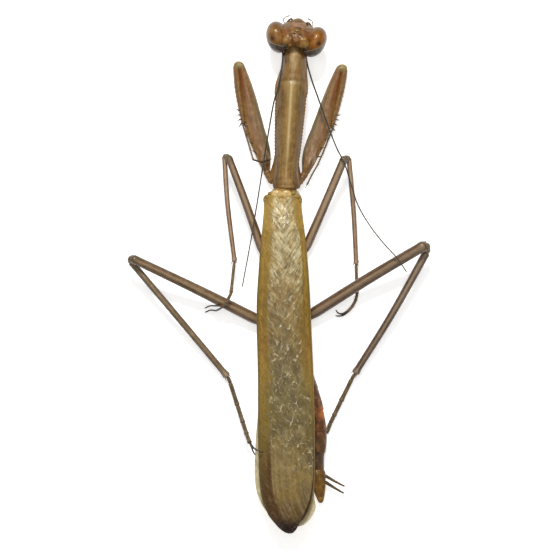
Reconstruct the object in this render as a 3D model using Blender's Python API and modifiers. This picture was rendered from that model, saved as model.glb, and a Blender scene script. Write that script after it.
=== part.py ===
# Praying mantis, a brown winged adult male lying belly down, as a still life-size model.
# The head points to -Y, the back is up (+Z), and the animal's left side is at +X.
# Sizes below are millimetres; MM turns them into metres when a mesh is finished.
import math

import bmesh
import bpy
from mathutils import Matrix, Vector

MM = 0.001
GAP = 0.25                      # clearance between neighbouring plates and limb pieces
FLOOR_CUT = 0.0                 # level of the small flats that the animal rests on

# Head
HEAD_CENTRE = (-2.9, -39.05, 4.3)
HEAD_YAW = math.radians(-7.5)
HEAD_TILT = math.radians(-20)   # the chin points forward and down
HEAD_HALF_WIDTH = 4.9           # outer faces of the eyes, before they turn
HEAD_SIDES = 20
EYE_HALF = (1.52, 2.55, 2.5)    # lateral, fore-and-aft, along the face
EYE_SHIFT = (0.22, 0.5)         # to the rear, and up the face
EYE_TURN = math.radians(16)     # the rear ends turn inward
ANTENNA_RADIUS = (0.3, 0.25)    # at the root and at the tip
PALP_RADIUS = 0.25

# Trunk
PRONOTUM_FRONT, PRONOTUM_REAR = -36.85, -13.65
PRONOTUM_EDGE = 4.2             # level of its side margins
PRONOTUM_BELLY = 2.9
PRONOTUM_KEEL = 0.12
THORAX_FRONT, THORAX_WAIST, THORAX_REAR = -13.35, -4.6, 4.4
THORAX_EDGE, THORAX_BELLY = 3.6, 2.15
ABDOMEN_REAR = 33.5
ABDOMEN_SEGMENTS = 8

# Wings
WING_THICK = 0.5
WING_STEP = 0.8                 # rise from one wing layer to the next
WING_COLUMNS, WING_ROWS = 5, 13
ROW_CROWDING = 1.35             # rows of a wing stand closer towards its tip

# Legs
FORE_LEVEL = 0.83               # a foreleg lies on its broad face at this middle height
FORE_TARSUS_RADIUS = 0.26
SPINE_RADIUS = 0.17
TOOTH_RADIUS = 0.15
HIP_DEPTH = 1.15                # a coxa's height as a share of its width
CLAW_RADIUS, CLAW_LENGTH, CLAW_SPREAD = 0.16, 0.9, 0.35
CLAW_FLOOR = 0.2                # lowest place of a claw's tip


def fresh_collection(name):
    group = bpy.data.collections.new(name)
    bpy.context.scene.collection.children.link(group)
    return group


for old in list(bpy.data.objects):
    bpy.data.objects.remove(old, do_unlink=True)
parts = fresh_collection("praying_mantis")
cutters = fresh_collection("cutters")
body = bpy.data.objects.new("body", None)
parts.objects.link(body)


# ---------------------------------------------------------------- materials

def shell_material(name, colour, roughness):
    made = bpy.data.materials.new(name)
    made.use_nodes = True
    shader = made.node_tree.nodes["Principled BSDF"]
    shader.inputs["Base Color"].default_value = (*colour, 1.0)
    shader.inputs["Roughness"].default_value = roughness
    shader.inputs["Metallic"].default_value = 0.0
    return made


head_shell = shell_material("head_shell", (0.33, 0.16, 0.06), 0.35)
eye_shell = shell_material("eye_shell", (0.36, 0.15, 0.04), 0.2)
feeler_shell = shell_material("feeler_shell", (0.08, 0.06, 0.03), 0.5)
prothorax_shell = shell_material("prothorax_shell", (0.24, 0.15, 0.06), 0.4)
thorax_shell = shell_material("thorax_shell", (0.38, 0.25, 0.09), 0.45)
foreleg_shell = shell_material("foreleg_shell", (0.28, 0.16, 0.09), 0.45)
leg_shell = shell_material("leg_shell", (0.22, 0.13, 0.07), 0.45)
abdomen_shell = shell_material("abdomen_shell", (0.2, 0.1, 0.04), 0.45)
forewing_sheet = shell_material("forewing_sheet", (0.4, 0.3, 0.12), 0.35)
hindwing_sheet = shell_material("hindwing_sheet", (0.5, 0.42, 0.28), 0.4)


# ------------------------------------------------------------ general tools

def spline(table, at):
    """Value at one place of a smooth curve through the rows (place, value) of a short table."""
    places = [row[0] for row in table]
    if at <= places[0]:
        return table[0][1]
    if at >= places[-1]:
        return table[-1][1]
    k = max(i for i, place in enumerate(places[:-1]) if place <= at)

    def slope(i):
        a = max(i - 1, 0)
        b = min(i + 1, len(table) - 1)
        return (table[b][1] - table[a][1]) / (places[b] - places[a])

    span = places[k + 1] - places[k]
    t = (at - places[k]) / span
    start, end = table[k][1], table[k + 1][1]
    return (start * (2 * t ** 3 - 3 * t ** 2 + 1) + end * (3 * t ** 2 - 2 * t ** 3)
            + slope(k) * span * (t ** 3 - 2 * t ** 2 + t) + slope(k + 1) * span * (t ** 3 - t ** 2))


def smooth_route(points, per_span):
    """Points along a smooth curve through a few chosen ones."""
    tables = [[(i, p[axis]) for i, p in enumerate(points)] for axis in range(3)]
    count = (len(points) - 1) * per_span
    return [Vector(spline(table, i / per_span) for table in tables) for i in range(count + 1)]


def mix(pair, t):
    return pair[0] + (pair[1] - pair[0]) * t


def finish(bm, name, shell, group=parts):
    """Make the object from its mesh in body millimetres, with its origin in its middle."""
    bmesh.ops.recalc_face_normals(bm, faces=bm.faces)
    bm.transform(Matrix.Scale(MM, 4))
    mesh = bpy.data.meshes.new(name)
    bm.to_mesh(mesh)
    bm.free()
    middle = sum((corner.co for corner in mesh.vertices), Vector()) / len(mesh.vertices)
    mesh.transform(Matrix.Translation(-middle))
    mesh.shade_smooth()
    mesh.set_sharp_from_angle(angle=math.radians(50))
    made = bpy.data.objects.new(name, mesh)
    made.location = middle
    made.parent = body
    group.objects.link(made)
    if group is cutters:
        made.hide_render = True
        made.display_type = "WIRE"
    else:
        mesh.materials.append(shell)
    return made


def bridge(bm, rings):
    """Skin a row of rings with equal point counts, and close both ends."""
    loops = [[bm.verts.new(p) for p in ring] for ring in rings]
    sides = len(loops[0])
    for near, far in zip(loops, loops[1:]):
        for i in range(sides):
            bm.faces.new((near[i], near[(i + 1) % sides], far[(i + 1) % sides], far[i]))
    bm.faces.new(loops[0])
    bm.faces.new(loops[-1])


def rest_flat(bm):
    """Cut a small flat where a piece reaches the floor."""
    geometry = bm.verts[:] + bm.edges[:] + bm.faces[:]
    bmesh.ops.bisect_plane(bm, geom=geometry, dist=1e-5, plane_co=(0, 0, FLOOR_CUT),
                           plane_no=(0, 0, 1), clear_inner=True)
    rim = [edge for edge in bm.edges if edge.is_boundary]
    if rim:
        bmesh.ops.holes_fill(bm, edges=rim, sides=0)


def limb_rings(route, halves, sides, rounded=0.45):
    """Elliptical rings across a route; halves gives (half width, half height) at each point."""
    rings = []
    last = len(route) - 1
    for i, centre in enumerate(route):
        along = (route[min(i + 1, last)] - route[max(i - 1, 0)]).normalized()
        across = along.cross(Vector((0, 0, 1)))
        across = across.normalized() if across.length > 0.05 else Vector((1, 0, 0))
        upward = across.cross(along)
        stops = [(0.0, 1.0)]
        if i == 0:
            stops = [(-rounded, 0.5), (0.0, 1.0)]
        elif i == last:
            stops = [(0.0, 1.0), (rounded, 0.5)]
        for shift, scale in stops:
            wide, high = halves[i]
            middle = centre + along * shift * min(wide, high)
            turns = [math.tau * k / sides for k in range(sides)]
            rings.append([middle + across * math.cos(a) * wide * scale
                          + upward * math.sin(a) * high * scale for a in turns])
    return rings


def limb(name, route, halves, shell, sides=8, flat=False):
    bm = bmesh.new()
    bridge(bm, limb_rings(route, halves, sides))
    if flat:
        rest_flat(bm)
    return finish(bm, name, shell)


def tapered(route, ends):
    """Round half sizes that change evenly from one end of a route to the other."""
    last = len(route) - 1
    return [(mix(ends, i / last),) * 2 for i in range(last + 1)]


def feeler(name, points, radii, shell, per_span):
    """A round tapering thread: a bevelled poly curve through smooth points."""
    route = smooth_route(points, per_span)
    curve = bpy.data.curves.new(name, "CURVE")
    curve.dimensions = "3D"
    curve.bevel_depth = MM
    curve.bevel_resolution = 1
    curve.use_fill_caps = True
    thread = curve.splines.new("POLY")
    thread.points.add(len(route) - 1)
    for i, place in enumerate(route):
        thread.points[i].co = (*((place - route[0]) * MM), 1)
        thread.points[i].radius = mix(radii, i / (len(route) - 1))
    curve.materials.append(shell)
    made = bpy.data.objects.new(name, curve)
    made.location = route[0] * MM
    made.parent = body
    parts.objects.link(made)


def boolean(target, tool, operation):
    change = target.modifiers.new(tool.name, "BOOLEAN")
    change.operation = operation
    change.object = tool
    change.solver = "EXACT"


def spikes(name, rows, radius, sides=4):
    """Cones from root to tip, gathered in one joining piece."""
    bm = bmesh.new()
    for root, tip in rows:
        root, tip = Vector(root), Vector(tip)
        along = tip - root
        turn = along.to_track_quat("Z", "Y").to_matrix().to_4x4()
        place = Matrix.Translation((root + tip) / 2) @ turn
        bmesh.ops.create_cone(bm, cap_ends=True, segments=sides, radius1=radius, radius2=radius * 0.25,
                              depth=along.length, matrix=place)
    return finish(bm, name, None, cutters)


# --------------------------------------------------------------------- head

head_frame = (Matrix.Translation(HEAD_CENTRE) @ Matrix.Rotation(HEAD_YAW, 4, "Z")
              @ Matrix.Rotation(HEAD_TILT, 4, "X"))
# Rows of the head capsule: level along the face, half width, face plane, back plane.
capsule_rows = ((-3.35, 0.95, -1.75, -0.6), (-2.7, 1.2, -1.95, -0.2), (-1.8, 1.65, -2.1, 0.2),
                (-0.8, 2.2, -2.05, 0.5), (0.2, 2.8, -1.9, 0.8), (1.1, 3.1, -1.75, 1.05),
                (1.8, 3.1, -1.5, 1.3), (2.35, 2.8, -1.15, 1.3), (2.7, 2.2, -0.6, 1.0))


def swell(place, centre, spread, height):
    """Height of a smooth bump on the face."""
    away = sum(((place[i] - centre[i]) / spread[i]) ** 2 for i in range(2))
    return height * math.exp(-away)


def head_capsule():
    bm = bmesh.new()
    rings = []
    for level, wide, face, back in capsule_rows:
        ring = []
        for k in range(HEAD_SIDES):
            turn = math.tau * k / HEAD_SIDES
            x = wide * math.copysign(abs(math.cos(turn)) ** 0.8, math.cos(turn))
            middle, deep = (face + back) / 2, (back - face) / 2
            y = middle + deep * math.sin(turn)
            front = max(0.0, -math.sin(turn))
            y -= front * swell((x, level), (0.0, -1.7), (1.0, 1.1), 0.4)
            y -= front * swell((x, level), (0.0, 1.35), (0.7, 0.5), 0.3)
            rear = 1.0 - front
            rise = rear * sum(swell((x, y), (s * 1.35, 0.3), (0.7, 0.9), 0.3) for s in (-1, 1))
            ring.append(Vector((x, y, level + (rise if level > 2 else 0.0))))
        rings.append(ring)
    bridge(bm, rings)
    bm.transform(head_frame)
    return finish(bm, "head", head_shell)


def eye_ball(name, side, grow, group=parts):
    bm = bmesh.new()
    bmesh.ops.create_uvsphere(bm, u_segments=16, v_segments=10, radius=1.0,
                              matrix=Matrix.Rotation(math.radians(90), 4, "Y"))
    size = Matrix.Diagonal([half + grow for half in EYE_HALF]).to_4x4()
    out = HEAD_HALF_WIDTH - EYE_HALF[0]
    turned = Matrix.Rotation(side * EYE_TURN, 4, "Z")
    bm.transform(head_frame @ Matrix.Translation((side * out, *EYE_SHIFT)) @ turned @ size)
    return finish(bm, name, eye_shell, group)


head = head_capsule()
for side, word in ((1, "left"), (-1, "right")):
    eye_ball(f"eye_{word}", side, 0.0)
    boolean(head, eye_ball(f"socket_{word}", side, GAP, cutters), "DIFFERENCE")


def mouth():
    """Labrum and jaws as one tapering block below the face."""
    rows = ((-3.62, 0.9, -1.7, -0.7), (-4.0, 0.8, -1.6, -0.6), (-4.35, 0.5, -1.4, -0.7))
    sides = 10
    turns = [math.tau * k / sides for k in range(sides)]
    bm = bmesh.new()
    rings = []
    for level, wide, face, back in rows:
        middle, deep = (face + back) / 2, (back - face) / 2
        rings.append([Vector((wide * math.cos(a), middle + deep * math.sin(a), level)) for a in turns])
    bridge(bm, rings)
    bm.transform(head_frame)
    finish(bm, "mouthparts", head_shell)


mouth()
feeler("palp_left",
       [(-1.55, -41.3, 1.75), (-0.75, -41.6, 1.6), (-0.95, -42.3, 1.9), (-1.85, -42.65, 2.3)],
       (PALP_RADIUS, PALP_RADIUS), feeler_shell, 3)
feeler("palp_right",
       [(-4.75, -40.9, 1.75), (-5.6, -41.0, 1.6), (-5.45, -41.75, 1.9), (-4.7, -42.15, 2.3)],
       (PALP_RADIUS, PALP_RADIUS), feeler_shell, 3)

# Each antenna leaves the face, dips in front of the jaws, and runs back under the eye
# and along the body.
feeler("antenna_left",
       [(-2.15, -41.8, 4.7), (-1.95, -41.95, 3.9), (-1.35, -41.45, 3.0), (-0.7, -40.6, 2.1),
        (-0.2, -38.8, 1.45), (-0.1, -36.9, 2.3), (0.05, -35.9, 3.7), (0.15, -35.0, 4.8), (0.0, -33.6, 5.55),
        (0.15, -31.0, 5.95), (0.85, -28.1, 5.65), (1.7, -23.4, 3.6), (2.5, -18.6, 3.3),
        (3.4, -12.8, 3.9), (4.6, -5.6, 4.0), (6.1, 2.5, 3.3)],
       ANTENNA_RADIUS, feeler_shell, 2)
feeler("antenna_right",
       [(-4.6, -41.2, 4.7), (-4.95, -41.25, 3.9), (-5.35, -40.8, 3.0), (-5.85, -39.9, 2.1),
        (-5.85, -38.0, 1.7), (-4.95, -36.3, 2.5), (-5.35, -32.4, 3.2), (-6.2, -29.7, 3.5),
        (-8.0, -24.6, 4.3), (-9.5, -20.6, 5.3), (-10.8, -18.0, 5.75), (-12.0, -14.2, 5.7),
        (-13.0, -11.2, 5.6), (-14.6, -8.3, 5.5), (-16.9, -5.2, 5.5), (-19.5, -2.3, 5.6),
        (-21.1, 0.0, 5.4)],
       ANTENNA_RADIUS, feeler_shell, 2)


# -------------------------------------------------------------------- trunk

def trunk_ring(y, x, wide, edge, top, belly, sides, keel=0.0):
    """One cross-section of the trunk: an arched back over a slightly narrower belly."""
    ring = []
    for k in range(sides):
        turn = math.tau * k / sides
        rise = math.sin(turn)
        reach = wide * math.cos(turn)
        if rise >= 0:
            z = edge + (top - edge) * rise ** 0.9
            z += keel * max(0.0, 1 - abs(reach) / 0.5)
        else:
            reach *= 1 - 0.12 * rise ** 2
            z = edge + (edge - belly) * rise
        ring.append(Vector((x + reach, y, z)))
    return ring


pronotum_middle = ((-37.0, -2.7), (-33.9, -2.5), (-31.0, -2.1), (-27.0, -1.8), (-20.0, -1.35),
                   (-13.6, -1.35))
pronotum_half = ((PRONOTUM_FRONT, 1.25), (-36.4, 1.65), (-35.5, 2.05), (-33.9, 2.45), (-31.0, 2.75),
                 (-28.6, 2.7), (-24.6, 2.5), (-20.6, 2.2), (-17.8, 1.95), (-15.9, 2.15), (-14.6, 2.4),
                 (PRONOTUM_REAR, 2.05))
pronotum_top = ((PRONOTUM_FRONT, 5.25), (-35.5, 5.65), (-32.2, 6.05), (-31.6, 5.8), (-31.0, 6.1),
                (-28.6, 6.15), (-20.0, 5.7), (-15.0, 5.75), (PRONOTUM_REAR, 5.45))


def pronotum():
    bm = bmesh.new()
    places = (PRONOTUM_FRONT, -36.4, -35.5, -34.0, -32.2, -31.6, -31.0, -29.6, -28.0, -25.5, -22.5, -19.8,
              -17.6, -15.9, -14.6, -13.95, PRONOTUM_REAR)
    rings = []
    for y in places:
        belly = PRONOTUM_BELLY + (0.5 if y in (PRONOTUM_FRONT, PRONOTUM_REAR) else 0.0)
        rings.append(trunk_ring(y, spline(pronotum_middle, y), spline(pronotum_half, y), PRONOTUM_EDGE,
                                spline(pronotum_top, y), belly, 14, keel=PRONOTUM_KEEL))
    bridge(bm, rings)
    return finish(bm, "pronotum", prothorax_shell)


pronotum()
limb("neck", [Vector((-2.85, -37.55, 3.85)), Vector((-2.8, -37.4, 3.9))], [(0.95, 0.8), (0.95, 0.8)],
     prothorax_shell, sides=10)

thorax_middle = ((-13.4, -0.75), (-8.0, -0.65), (4.5, -0.85))
thorax_half = ((THORAX_FRONT, 1.9), (-12.6, 2.3), (-8.0, 2.3), (-2.0, 2.45), (THORAX_REAR, 2.3))
thorax_top = ((THORAX_FRONT, 5.2), (-12.9, 6.0), (-12.2, 6.1), (-11.7, 5.5), (THORAX_REAR, 5.0))


def thorax_box(name, places):
    bm = bmesh.new()
    rings = [trunk_ring(y, spline(thorax_middle, y), spline(thorax_half, y), THORAX_EDGE,
                        spline(thorax_top, y), THORAX_BELLY, 12) for y in places]
    bridge(bm, rings)
    return finish(bm, name, thorax_shell)


thorax_box("mesothorax", (THORAX_FRONT, -12.9, -12.2, -11.7, -9.0, -6.5, THORAX_WAIST))
thorax_box("metathorax", (THORAX_WAIST + GAP, -2.5, 0.5, 3.0, THORAX_REAR))

abdomen_middle = ((4.6, -0.85), (10.0, -1.5), (15.0, -2.5), (20.0, -3.9), (25.0, -4.75), (33.5, -5.95))
abdomen_half = ((4.6, 2.3), (8.0, 2.7), (14.0, 3.0), (22.0, 3.1), (28.0, 2.8), (31.5, 2.1), (33.5, 1.5))
abdomen_belly = ((4.6, 2.0), (8.0, 0.6), (11.0, -0.12), (33.5, -0.12))
abdomen_top = ((4.6, 4.7), (10.0, 4.5), (16.0, 4.1), (22.0, 3.55), (28.0, 2.75), (33.5, 2.0))


def abdomen():
    start = THORAX_REAR + GAP
    pitch = (ABDOMEN_REAR - start) / ABDOMEN_SEGMENTS
    for number in range(1, ABDOMEN_SEGMENTS + 1):
        front = start + (number - 1) * pitch
        rear = front + pitch - GAP
        # Each plate swells a little towards its rear rim.
        stations = ((front, 0.9), (front + 0.25 * pitch, 0.97), (rear - 0.1 * pitch, 1.0), (rear, 0.95))
        bm = bmesh.new()
        rings = []
        for y, grow in stations:
            top, belly = spline(abdomen_top, y), spline(abdomen_belly, y)
            rings.append(trunk_ring(y, spline(abdomen_middle, y), spline(abdomen_half, y) * grow,
                                    mix((belly, top), 0.48), top * grow, belly, 12))
        bridge(bm, rings)
        rest_flat(bm)
        finish(bm, f"abdomen_segment_{number}", abdomen_shell)


abdomen()
plate_route = [Vector((-6.35, 34.05, 1.1)), Vector((-6.6, 35.5, 1.0)), Vector((-6.85, 37.2, 0.95)),
               Vector((-7.0, 38.4, 0.95))]
limb("subgenital_plate", plate_route, [(1.3, 0.7), (1.15, 0.55), (0.7, 0.4), (0.28, 0.27)], abdomen_shell)
cercus_half = [(0.33, 0.33), (0.32, 0.32), (0.3, 0.3), (0.28, 0.28), (0.25, 0.25)]
limb("cercus_right", smooth_route([(-7.85, 33.95, 2.1), (-9.3, 34.8, 2.1), (-10.9, 35.6, 2.0)], 2),
     cercus_half, abdomen_shell, sides=7)
limb("cercus_left", smooth_route([(-8.15, 35.25, 1.1), (-9.5, 36.1, 1.1), (-10.8, 36.8, 1.1)], 2),
     cercus_half, abdomen_shell, sides=7)


# -------------------------------------------------------------------- wings

wing_deck = ((-12.8, 5.9), (0.0, 5.75), (5.0, 5.45), (12.0, 5.1), (20.0, 4.7), (28.0, 4.15), (36.0, 3.4),
             (43.0, 2.6))
wing_droop = ((-12.8, 0.9), (5.0, 1.1), (20.0, 1.5), (30.0, 1.8), (43.0, 1.0))
fold_middle = ((-12.8, -0.6), (4.0, -0.75), (15.0, -1.1), (24.0, -1.8), (43.0, -1.8))
fold_half = ((-12.8, 2.95), (0.0, 4.1), (12.0, 4.65), (24.0, 5.5), (36.0, 5.6), (43.0, 5.6))


def wing(name, outer, inner, layer, shell):
    """A curved sheet between two margins, thickened: its margins droop over the body's sides."""
    bm = bmesh.new()
    bmesh.ops.create_grid(bm, x_segments=WING_COLUMNS, y_segments=WING_ROWS, size=0.5)
    root, tip = outer[0][0], outer[-1][0]
    for point in bm.verts:
        across, along = point.co.x + 0.5, point.co.y + 0.5
        y = root + (tip - root) * (1 - (1 - along) ** ROW_CROWDING)
        left, right = sorted((spline(outer, y), spline(inner, y)))
        x = left + (right - left) * across
        reach = (x - spline(fold_middle, y)) / spline(fold_half, y)
        droop = spline(wing_droop, y) * abs(reach) ** 2.5
        point.co = (x, y, spline(wing_deck, y) + layer * WING_STEP + WING_THICK - droop)
    bmesh.ops.recalc_face_normals(bm, faces=bm.faces)
    made = finish(bm, name, shell)
    sheet = made.modifiers.new("thickness", "SOLIDIFY")
    sheet.thickness = WING_THICK * MM
    sheet.offset = -1.0
    return made


wing("hindwing_left", ((-9.0, 2.2), (0.0, 2.9), (10.0, 3.3), (20.0, 3.3), (30.5, 4.0), (36.0, 3.8),
                       (39.0, 2.6), (41.0, 1.0)),
     ((-9.0, -0.5), (20.0, -1.3), (41.0, -1.2)), 0, hindwing_sheet)
wing("hindwing_right", ((-9.0, -3.5), (0.0, -4.3), (10.0, -4.9), (20.0, -5.5), (25.0, -5.6), (34.0, -5.5),
                        (37.5, -5.9), (39.5, -6.0), (42.2, -4.2)),
     ((-9.0, -0.8), (20.0, -1.6), (42.2, -1.6)), 0, hindwing_sheet)
wing("forewing_right", ((-12.7, -3.5), (-1.3, -4.8), (12.0, -5.5), (18.0, -5.75), (25.2, -5.9), (34.0, -5.9),
                        (37.5, -5.6), (40.0, -4.8), (41.6, -3.6)),
     ((-12.7, -1.7), (-11.5, -0.8), (-9.0, 1.1), (-5.0, 1.9), (5.0, 2.3), (28.0, 2.1), (36.0, 1.0),
      (41.6, -2.3)), 1, forewing_sheet)
wing("forewing_left", ((-12.7, 2.3), (-8.0, 2.7), (-1.3, 3.3), (6.0, 3.7), (17.0, 3.5), (28.0, 3.45),
                       (36.0, 3.1), (40.0, 1.9), (41.8, 0.55), (43.3, -0.9)),
     ((-12.7, 0.5), (-11.5, -0.4), (-9.0, -2.3), (-5.0, -3.6), (5.0, -4.0), (28.0, -5.6), (37.0, -5.2),
      (43.3, -2.6)), 2, forewing_sheet)


# ----------------------------------------------------------------- forelegs

# Raptorial femur, from knee to base: share of its length, back edge, spined edge, half thickness.
femur_rows = ((0.0, -0.35, 0.2, 0.55), (0.04, -0.6, 0.42, 0.7), (0.2, -0.95, 0.78, 0.8),
              (0.34, -1.0, 1.03, 0.85), (0.48, -1.12, 1.25, 0.85), (0.62, -1.35, 1.4, 0.85),
              (0.76, -1.55, 1.4, 0.85), (0.86, -1.4, 1.1, 0.8), (0.94, -0.85, 0.75, 0.7),
              (1.0, -0.5, 0.5, 0.5))
tibia_rows = ((0.035, 1.07, 0.34), (0.1, 1.23, 0.42), (0.2, 1.46, 0.43), (0.33, 1.72, 0.42),
              (0.44, 1.86, 0.38), (0.5, 1.9, 0.3), (0.535, 1.84, 0.18))
forelegs = {
    "left": {"side": 1, "knee": (6.4, -34.85), "base": (2.05, -16.5),
             "coxa": [(-0.75, -30.2, 1.5), (-0.45, -25.0, 1.3), (-0.15, -19.5, 1.1), (1.15, -15.0, 1.0)],
             "toes": [(0.555, 2.2, 0.9), (0.64, 1.93, 0.75), (0.78, 1.95, 0.8), (0.865, 1.75, 1.4),
                      (0.9, 0.5, 2.25), (0.895, -0.8, 2.35)]},
    "right": {"side": -1, "knee": (-10.25, -34.4), "base": (-4.3, -16.1),
              "coxa": [(-3.35, -30.2, 1.5), (-2.95, -25.0, 1.3), (-2.4, -19.5, 1.1), (-3.25, -14.8, 1.0)],
              "toes": [(0.555, 2.2, 0.9), (0.64, 1.93, 0.75), (0.78, 1.9, 0.75), (0.88, 1.55, 0.8),
                       (0.98, 1.1, 0.8), (1.07, 0.85, 0.8)]},
}
coxa_half = ((0.0, 0.95), (0.25, 1.0), (0.7, 0.85), (1.0, 0.7))
femur_spines = ((0.555, 1.05), (0.59, 1.1), (0.66, 0.7), (0.74, 0.7), (0.82, 0.6))    # share, length
tibia_teeth = (0.44, 0.475, 0.51)


def foreleg_frame(leg):
    """Turns (share from the knee, distance to the spined side, height) into a place."""
    knee, base = Vector((*leg["knee"], 0)), Vector((*leg["base"], 0))
    along = base - knee
    outward = Vector((-along.y, along.x, 0)).normalized()
    if outward.x * leg["side"] < 0:
        outward = -outward

    def place(share, out, height):
        return knee + along * share + outward * out + Vector((0, 0, height))

    return place


def foreleg(word, leg):
    place = foreleg_frame(leg)
    route, halves = [], []
    for share, back, spined, thick in femur_rows:
        route.append(place(share, (back + spined) / 2, FORE_LEVEL))
        halves.append(((spined - back) / 2, thick))
    femur = limb(f"fore_femur_{word}", route, halves, foreleg_shell, sides=12, flat=True)
    rows = [(place(share, 0.9, FORE_LEVEL + 0.45), place(share - 0.05, 1.35 + size, FORE_LEVEL + 0.75))
            for share, size in femur_spines]
    boolean(femur, spikes(f"femur_spines_{word}", rows, SPINE_RADIUS), "UNION")

    shin = [place(share, out, FORE_LEVEL + 0.02) for share, out, _ in tibia_rows]
    tibia = limb(f"fore_tibia_{word}", shin, [(half, half * 1.05) for _, _, half in tibia_rows],
                 foreleg_shell, sides=8)
    teeth = [(place(share, 1.95, FORE_LEVEL + 0.2), place(share + 0.015, 2.75, FORE_LEVEL + 0.3))
             for share in tibia_teeth]
    boolean(tibia, spikes(f"tibia_spines_{word}", teeth, TOOTH_RADIUS), "UNION")

    thigh = smooth_route(leg["coxa"], 2)
    shares = [i / (len(thigh) - 1) for i in range(len(thigh))]
    limb(f"fore_coxa_{word}", thigh, [(spline(coxa_half, s), spline(coxa_half, s) * 1.15) for s in shares],
         foreleg_shell, sides=10, flat=True)
    tarsus(f"fore_tarsus_{word}", [place(*toe) for toe in leg["toes"]], FORE_TARSUS_RADIUS)


# ------------------------------------------------------------- walking legs

def tarsus(name, joints, radius):
    """Five jointed lengths, thicker at each joint, and a pair of claws."""
    route, halves = [], []
    for a, b in zip(joints, joints[1:]):
        route += [Vector(a), (Vector(a) + Vector(b)) / 2]
        halves += [(radius * 1.12,) * 2, (radius * 0.88,) * 2]
    route.append(Vector(joints[-1]))
    halves.append((radius,) * 2)
    foot = limb(name, route, halves, leg_shell, sides=6, flat=True)
    end, along = route[-1], (route[-1] - route[-2]).normalized()
    spread = along.cross(Vector((0, 0, 1)))
    spread = (spread.normalized() if spread.length > 0.1 else Vector((1, 0, 0))) * CLAW_SPREAD
    pair = []
    for s in (-1, 1):
        tip = end + along * CLAW_LENGTH + spread * s
        tip.z = max(tip.z, CLAW_FLOOR)
        pair.append((end - along * 0.1 + spread * s * 0.3, tip))
    boolean(foot, spikes(f"{name}_claws", pair, CLAW_RADIUS), "UNION")


hip_half = ((0.0, 0.95), (0.6, 0.9), (1.0, 0.68))
walking_legs = {
    "mid_left": {"femur": (0.7, 0.54), "tibia": (0.4, 0.34), "tarsus": 0.27,
                 "coxa": [(0.55, -8.6, 1.05), (2.0, -4.8, 1.0)],
                 "thigh": [(2.8, -3.6, 1.25), (5.5, -11.4, 2.9), (8.45, -19.3, 4.5)],
                 "shin": [(9.05, -19.2, 3.2), (8.55, -11.5, 3.4), (7.35, -1.7, 3.75)],
                 "toes": [(7.45, -1.15, 3.85), (7.95, 3.5, 4.25), (8.65, 5.0, 4.2), (9.6, 5.8, 3.45),
                          (10.6, 6.1, 1.7), (11.4, 6.2, 0.5)]},
    "mid_right": {"femur": (0.72, 0.6), "tibia": (0.4, 0.34), "tarsus": 0.27,
                  "coxa": [(-1.95, -8.6, 1.05), (-3.7, -5.1, 1.0)],
                  "thigh": [(-4.5, -4.0, 1.25), (-7.75, -11.5, 2.9), (-10.95, -19.1, 4.4)],
                  "shin": [(-11.6, -18.9, 3.1), (-12.4, -10.0, 2.5), (-12.85, -1.3, 1.5)],
                  "toes": [(-12.85, -0.8, 1.4), (-13.0, 3.7, 0.95), (-12.75, 4.7, 0.9), (-12.2, 5.7, 0.8),
                           (-11.3, 6.5, 0.6), (-10.4, 6.8, 0.4)]},
    "hind_left": {"femur": (0.9, 0.66), "tibia": (0.53, 0.5), "tarsus": 0.38,
                  "coxa": [(0.45, 1.8, 1.1), (1.8, 5.4, 1.0), (2.75, 7.05, 1.15)],
                  "thigh": [(3.2, 8.15, 1.35), (13.8, 2.8, 3.1), (24.6, -2.4, 4.9)],
                  "shin": [(24.6, -1.75, 3.4), (16.5, 7.9, 2.2), (8.5, 17.5, 0.9)],
                  "toes": [(8.1, 18.5, 0.6), (6.9, 22.3, 0.45), (5.95, 25.2, 1.1), (5.35, 27.0, 2.5),
                           (4.85, 28.3, 4.0), (4.1, 29.1, 5.0)]},
    "hind_right": {"femur": (0.92, 0.82), "tibia": (0.65, 0.54), "tarsus": 0.38,
                   "coxa": [(-2.05, 1.8, 1.1), (-3.4, 5.2, 1.0), (-4.4, 6.3, 1.1)],
                   "thigh": [(-5.2, 7.2, 1.35), (-15.0, 1.0, 3.1), (-24.5, -4.65, 4.9)],
                   "shin": [(-24.5, -3.3, 3.2), (-18.85, 6.9, 2.2), (-12.6, 17.0, 0.9)],
                   "toes": [(-12.1, 17.9, 0.6), (-10.3, 21.6, 0.45), (-9.1, 24.1, 0.4), (-8.6, 25.1, 0.36),
                            (-8.3, 25.9, 0.34), (-8.0, 26.7, 0.34)]},
}


def walking_leg(word, leg):
    hip = smooth_route(leg["coxa"], 2)
    shares = [i / (len(hip) - 1) for i in range(len(hip))]
    halves = [(spline(hip_half, s), spline(hip_half, s) * HIP_DEPTH) for s in shares]
    limb(f"{word}_coxa", hip, halves, leg_shell, sides=8, flat=True)
    thigh = smooth_route(leg["thigh"], 3)
    thick = leg["femur"]
    halves = tapered(thigh, thick)
    halves[0] = (thick[0] * 0.8,) * 2
    halves[-1] = (thick[1] * 1.12,) * 2
    limb(f"{word}_femur", thigh, halves, leg_shell, sides=8)
    shin = smooth_route(leg["shin"], 3)
    halves = tapered(shin, leg["tibia"])
    halves[-1] = (leg["tibia"][1] * 1.25,) * 2
    tibia = limb(f"{word}_tibia", shin, halves, leg_shell, sides=8)
    tip, along = shin[-1], (shin[-1] - shin[-2]).normalized()
    sideways = along.cross(Vector((0, 0, 1))).normalized()
    spurs = [(tip - along * 0.2 + sideways * s * 0.2, tip + along * 0.55 + sideways * s * 0.75)
             for s in (-1, 1)]
    boolean(tibia, spikes(f"{word}_spurs", spurs, TOOTH_RADIUS), "UNION")
    tarsus(f"{word}_tarsus", leg["toes"], leg["tarsus"])


for word, leg in forelegs.items():
    foreleg(word, leg)
for word, leg in walking_legs.items():
    walking_leg(word, leg)
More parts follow.
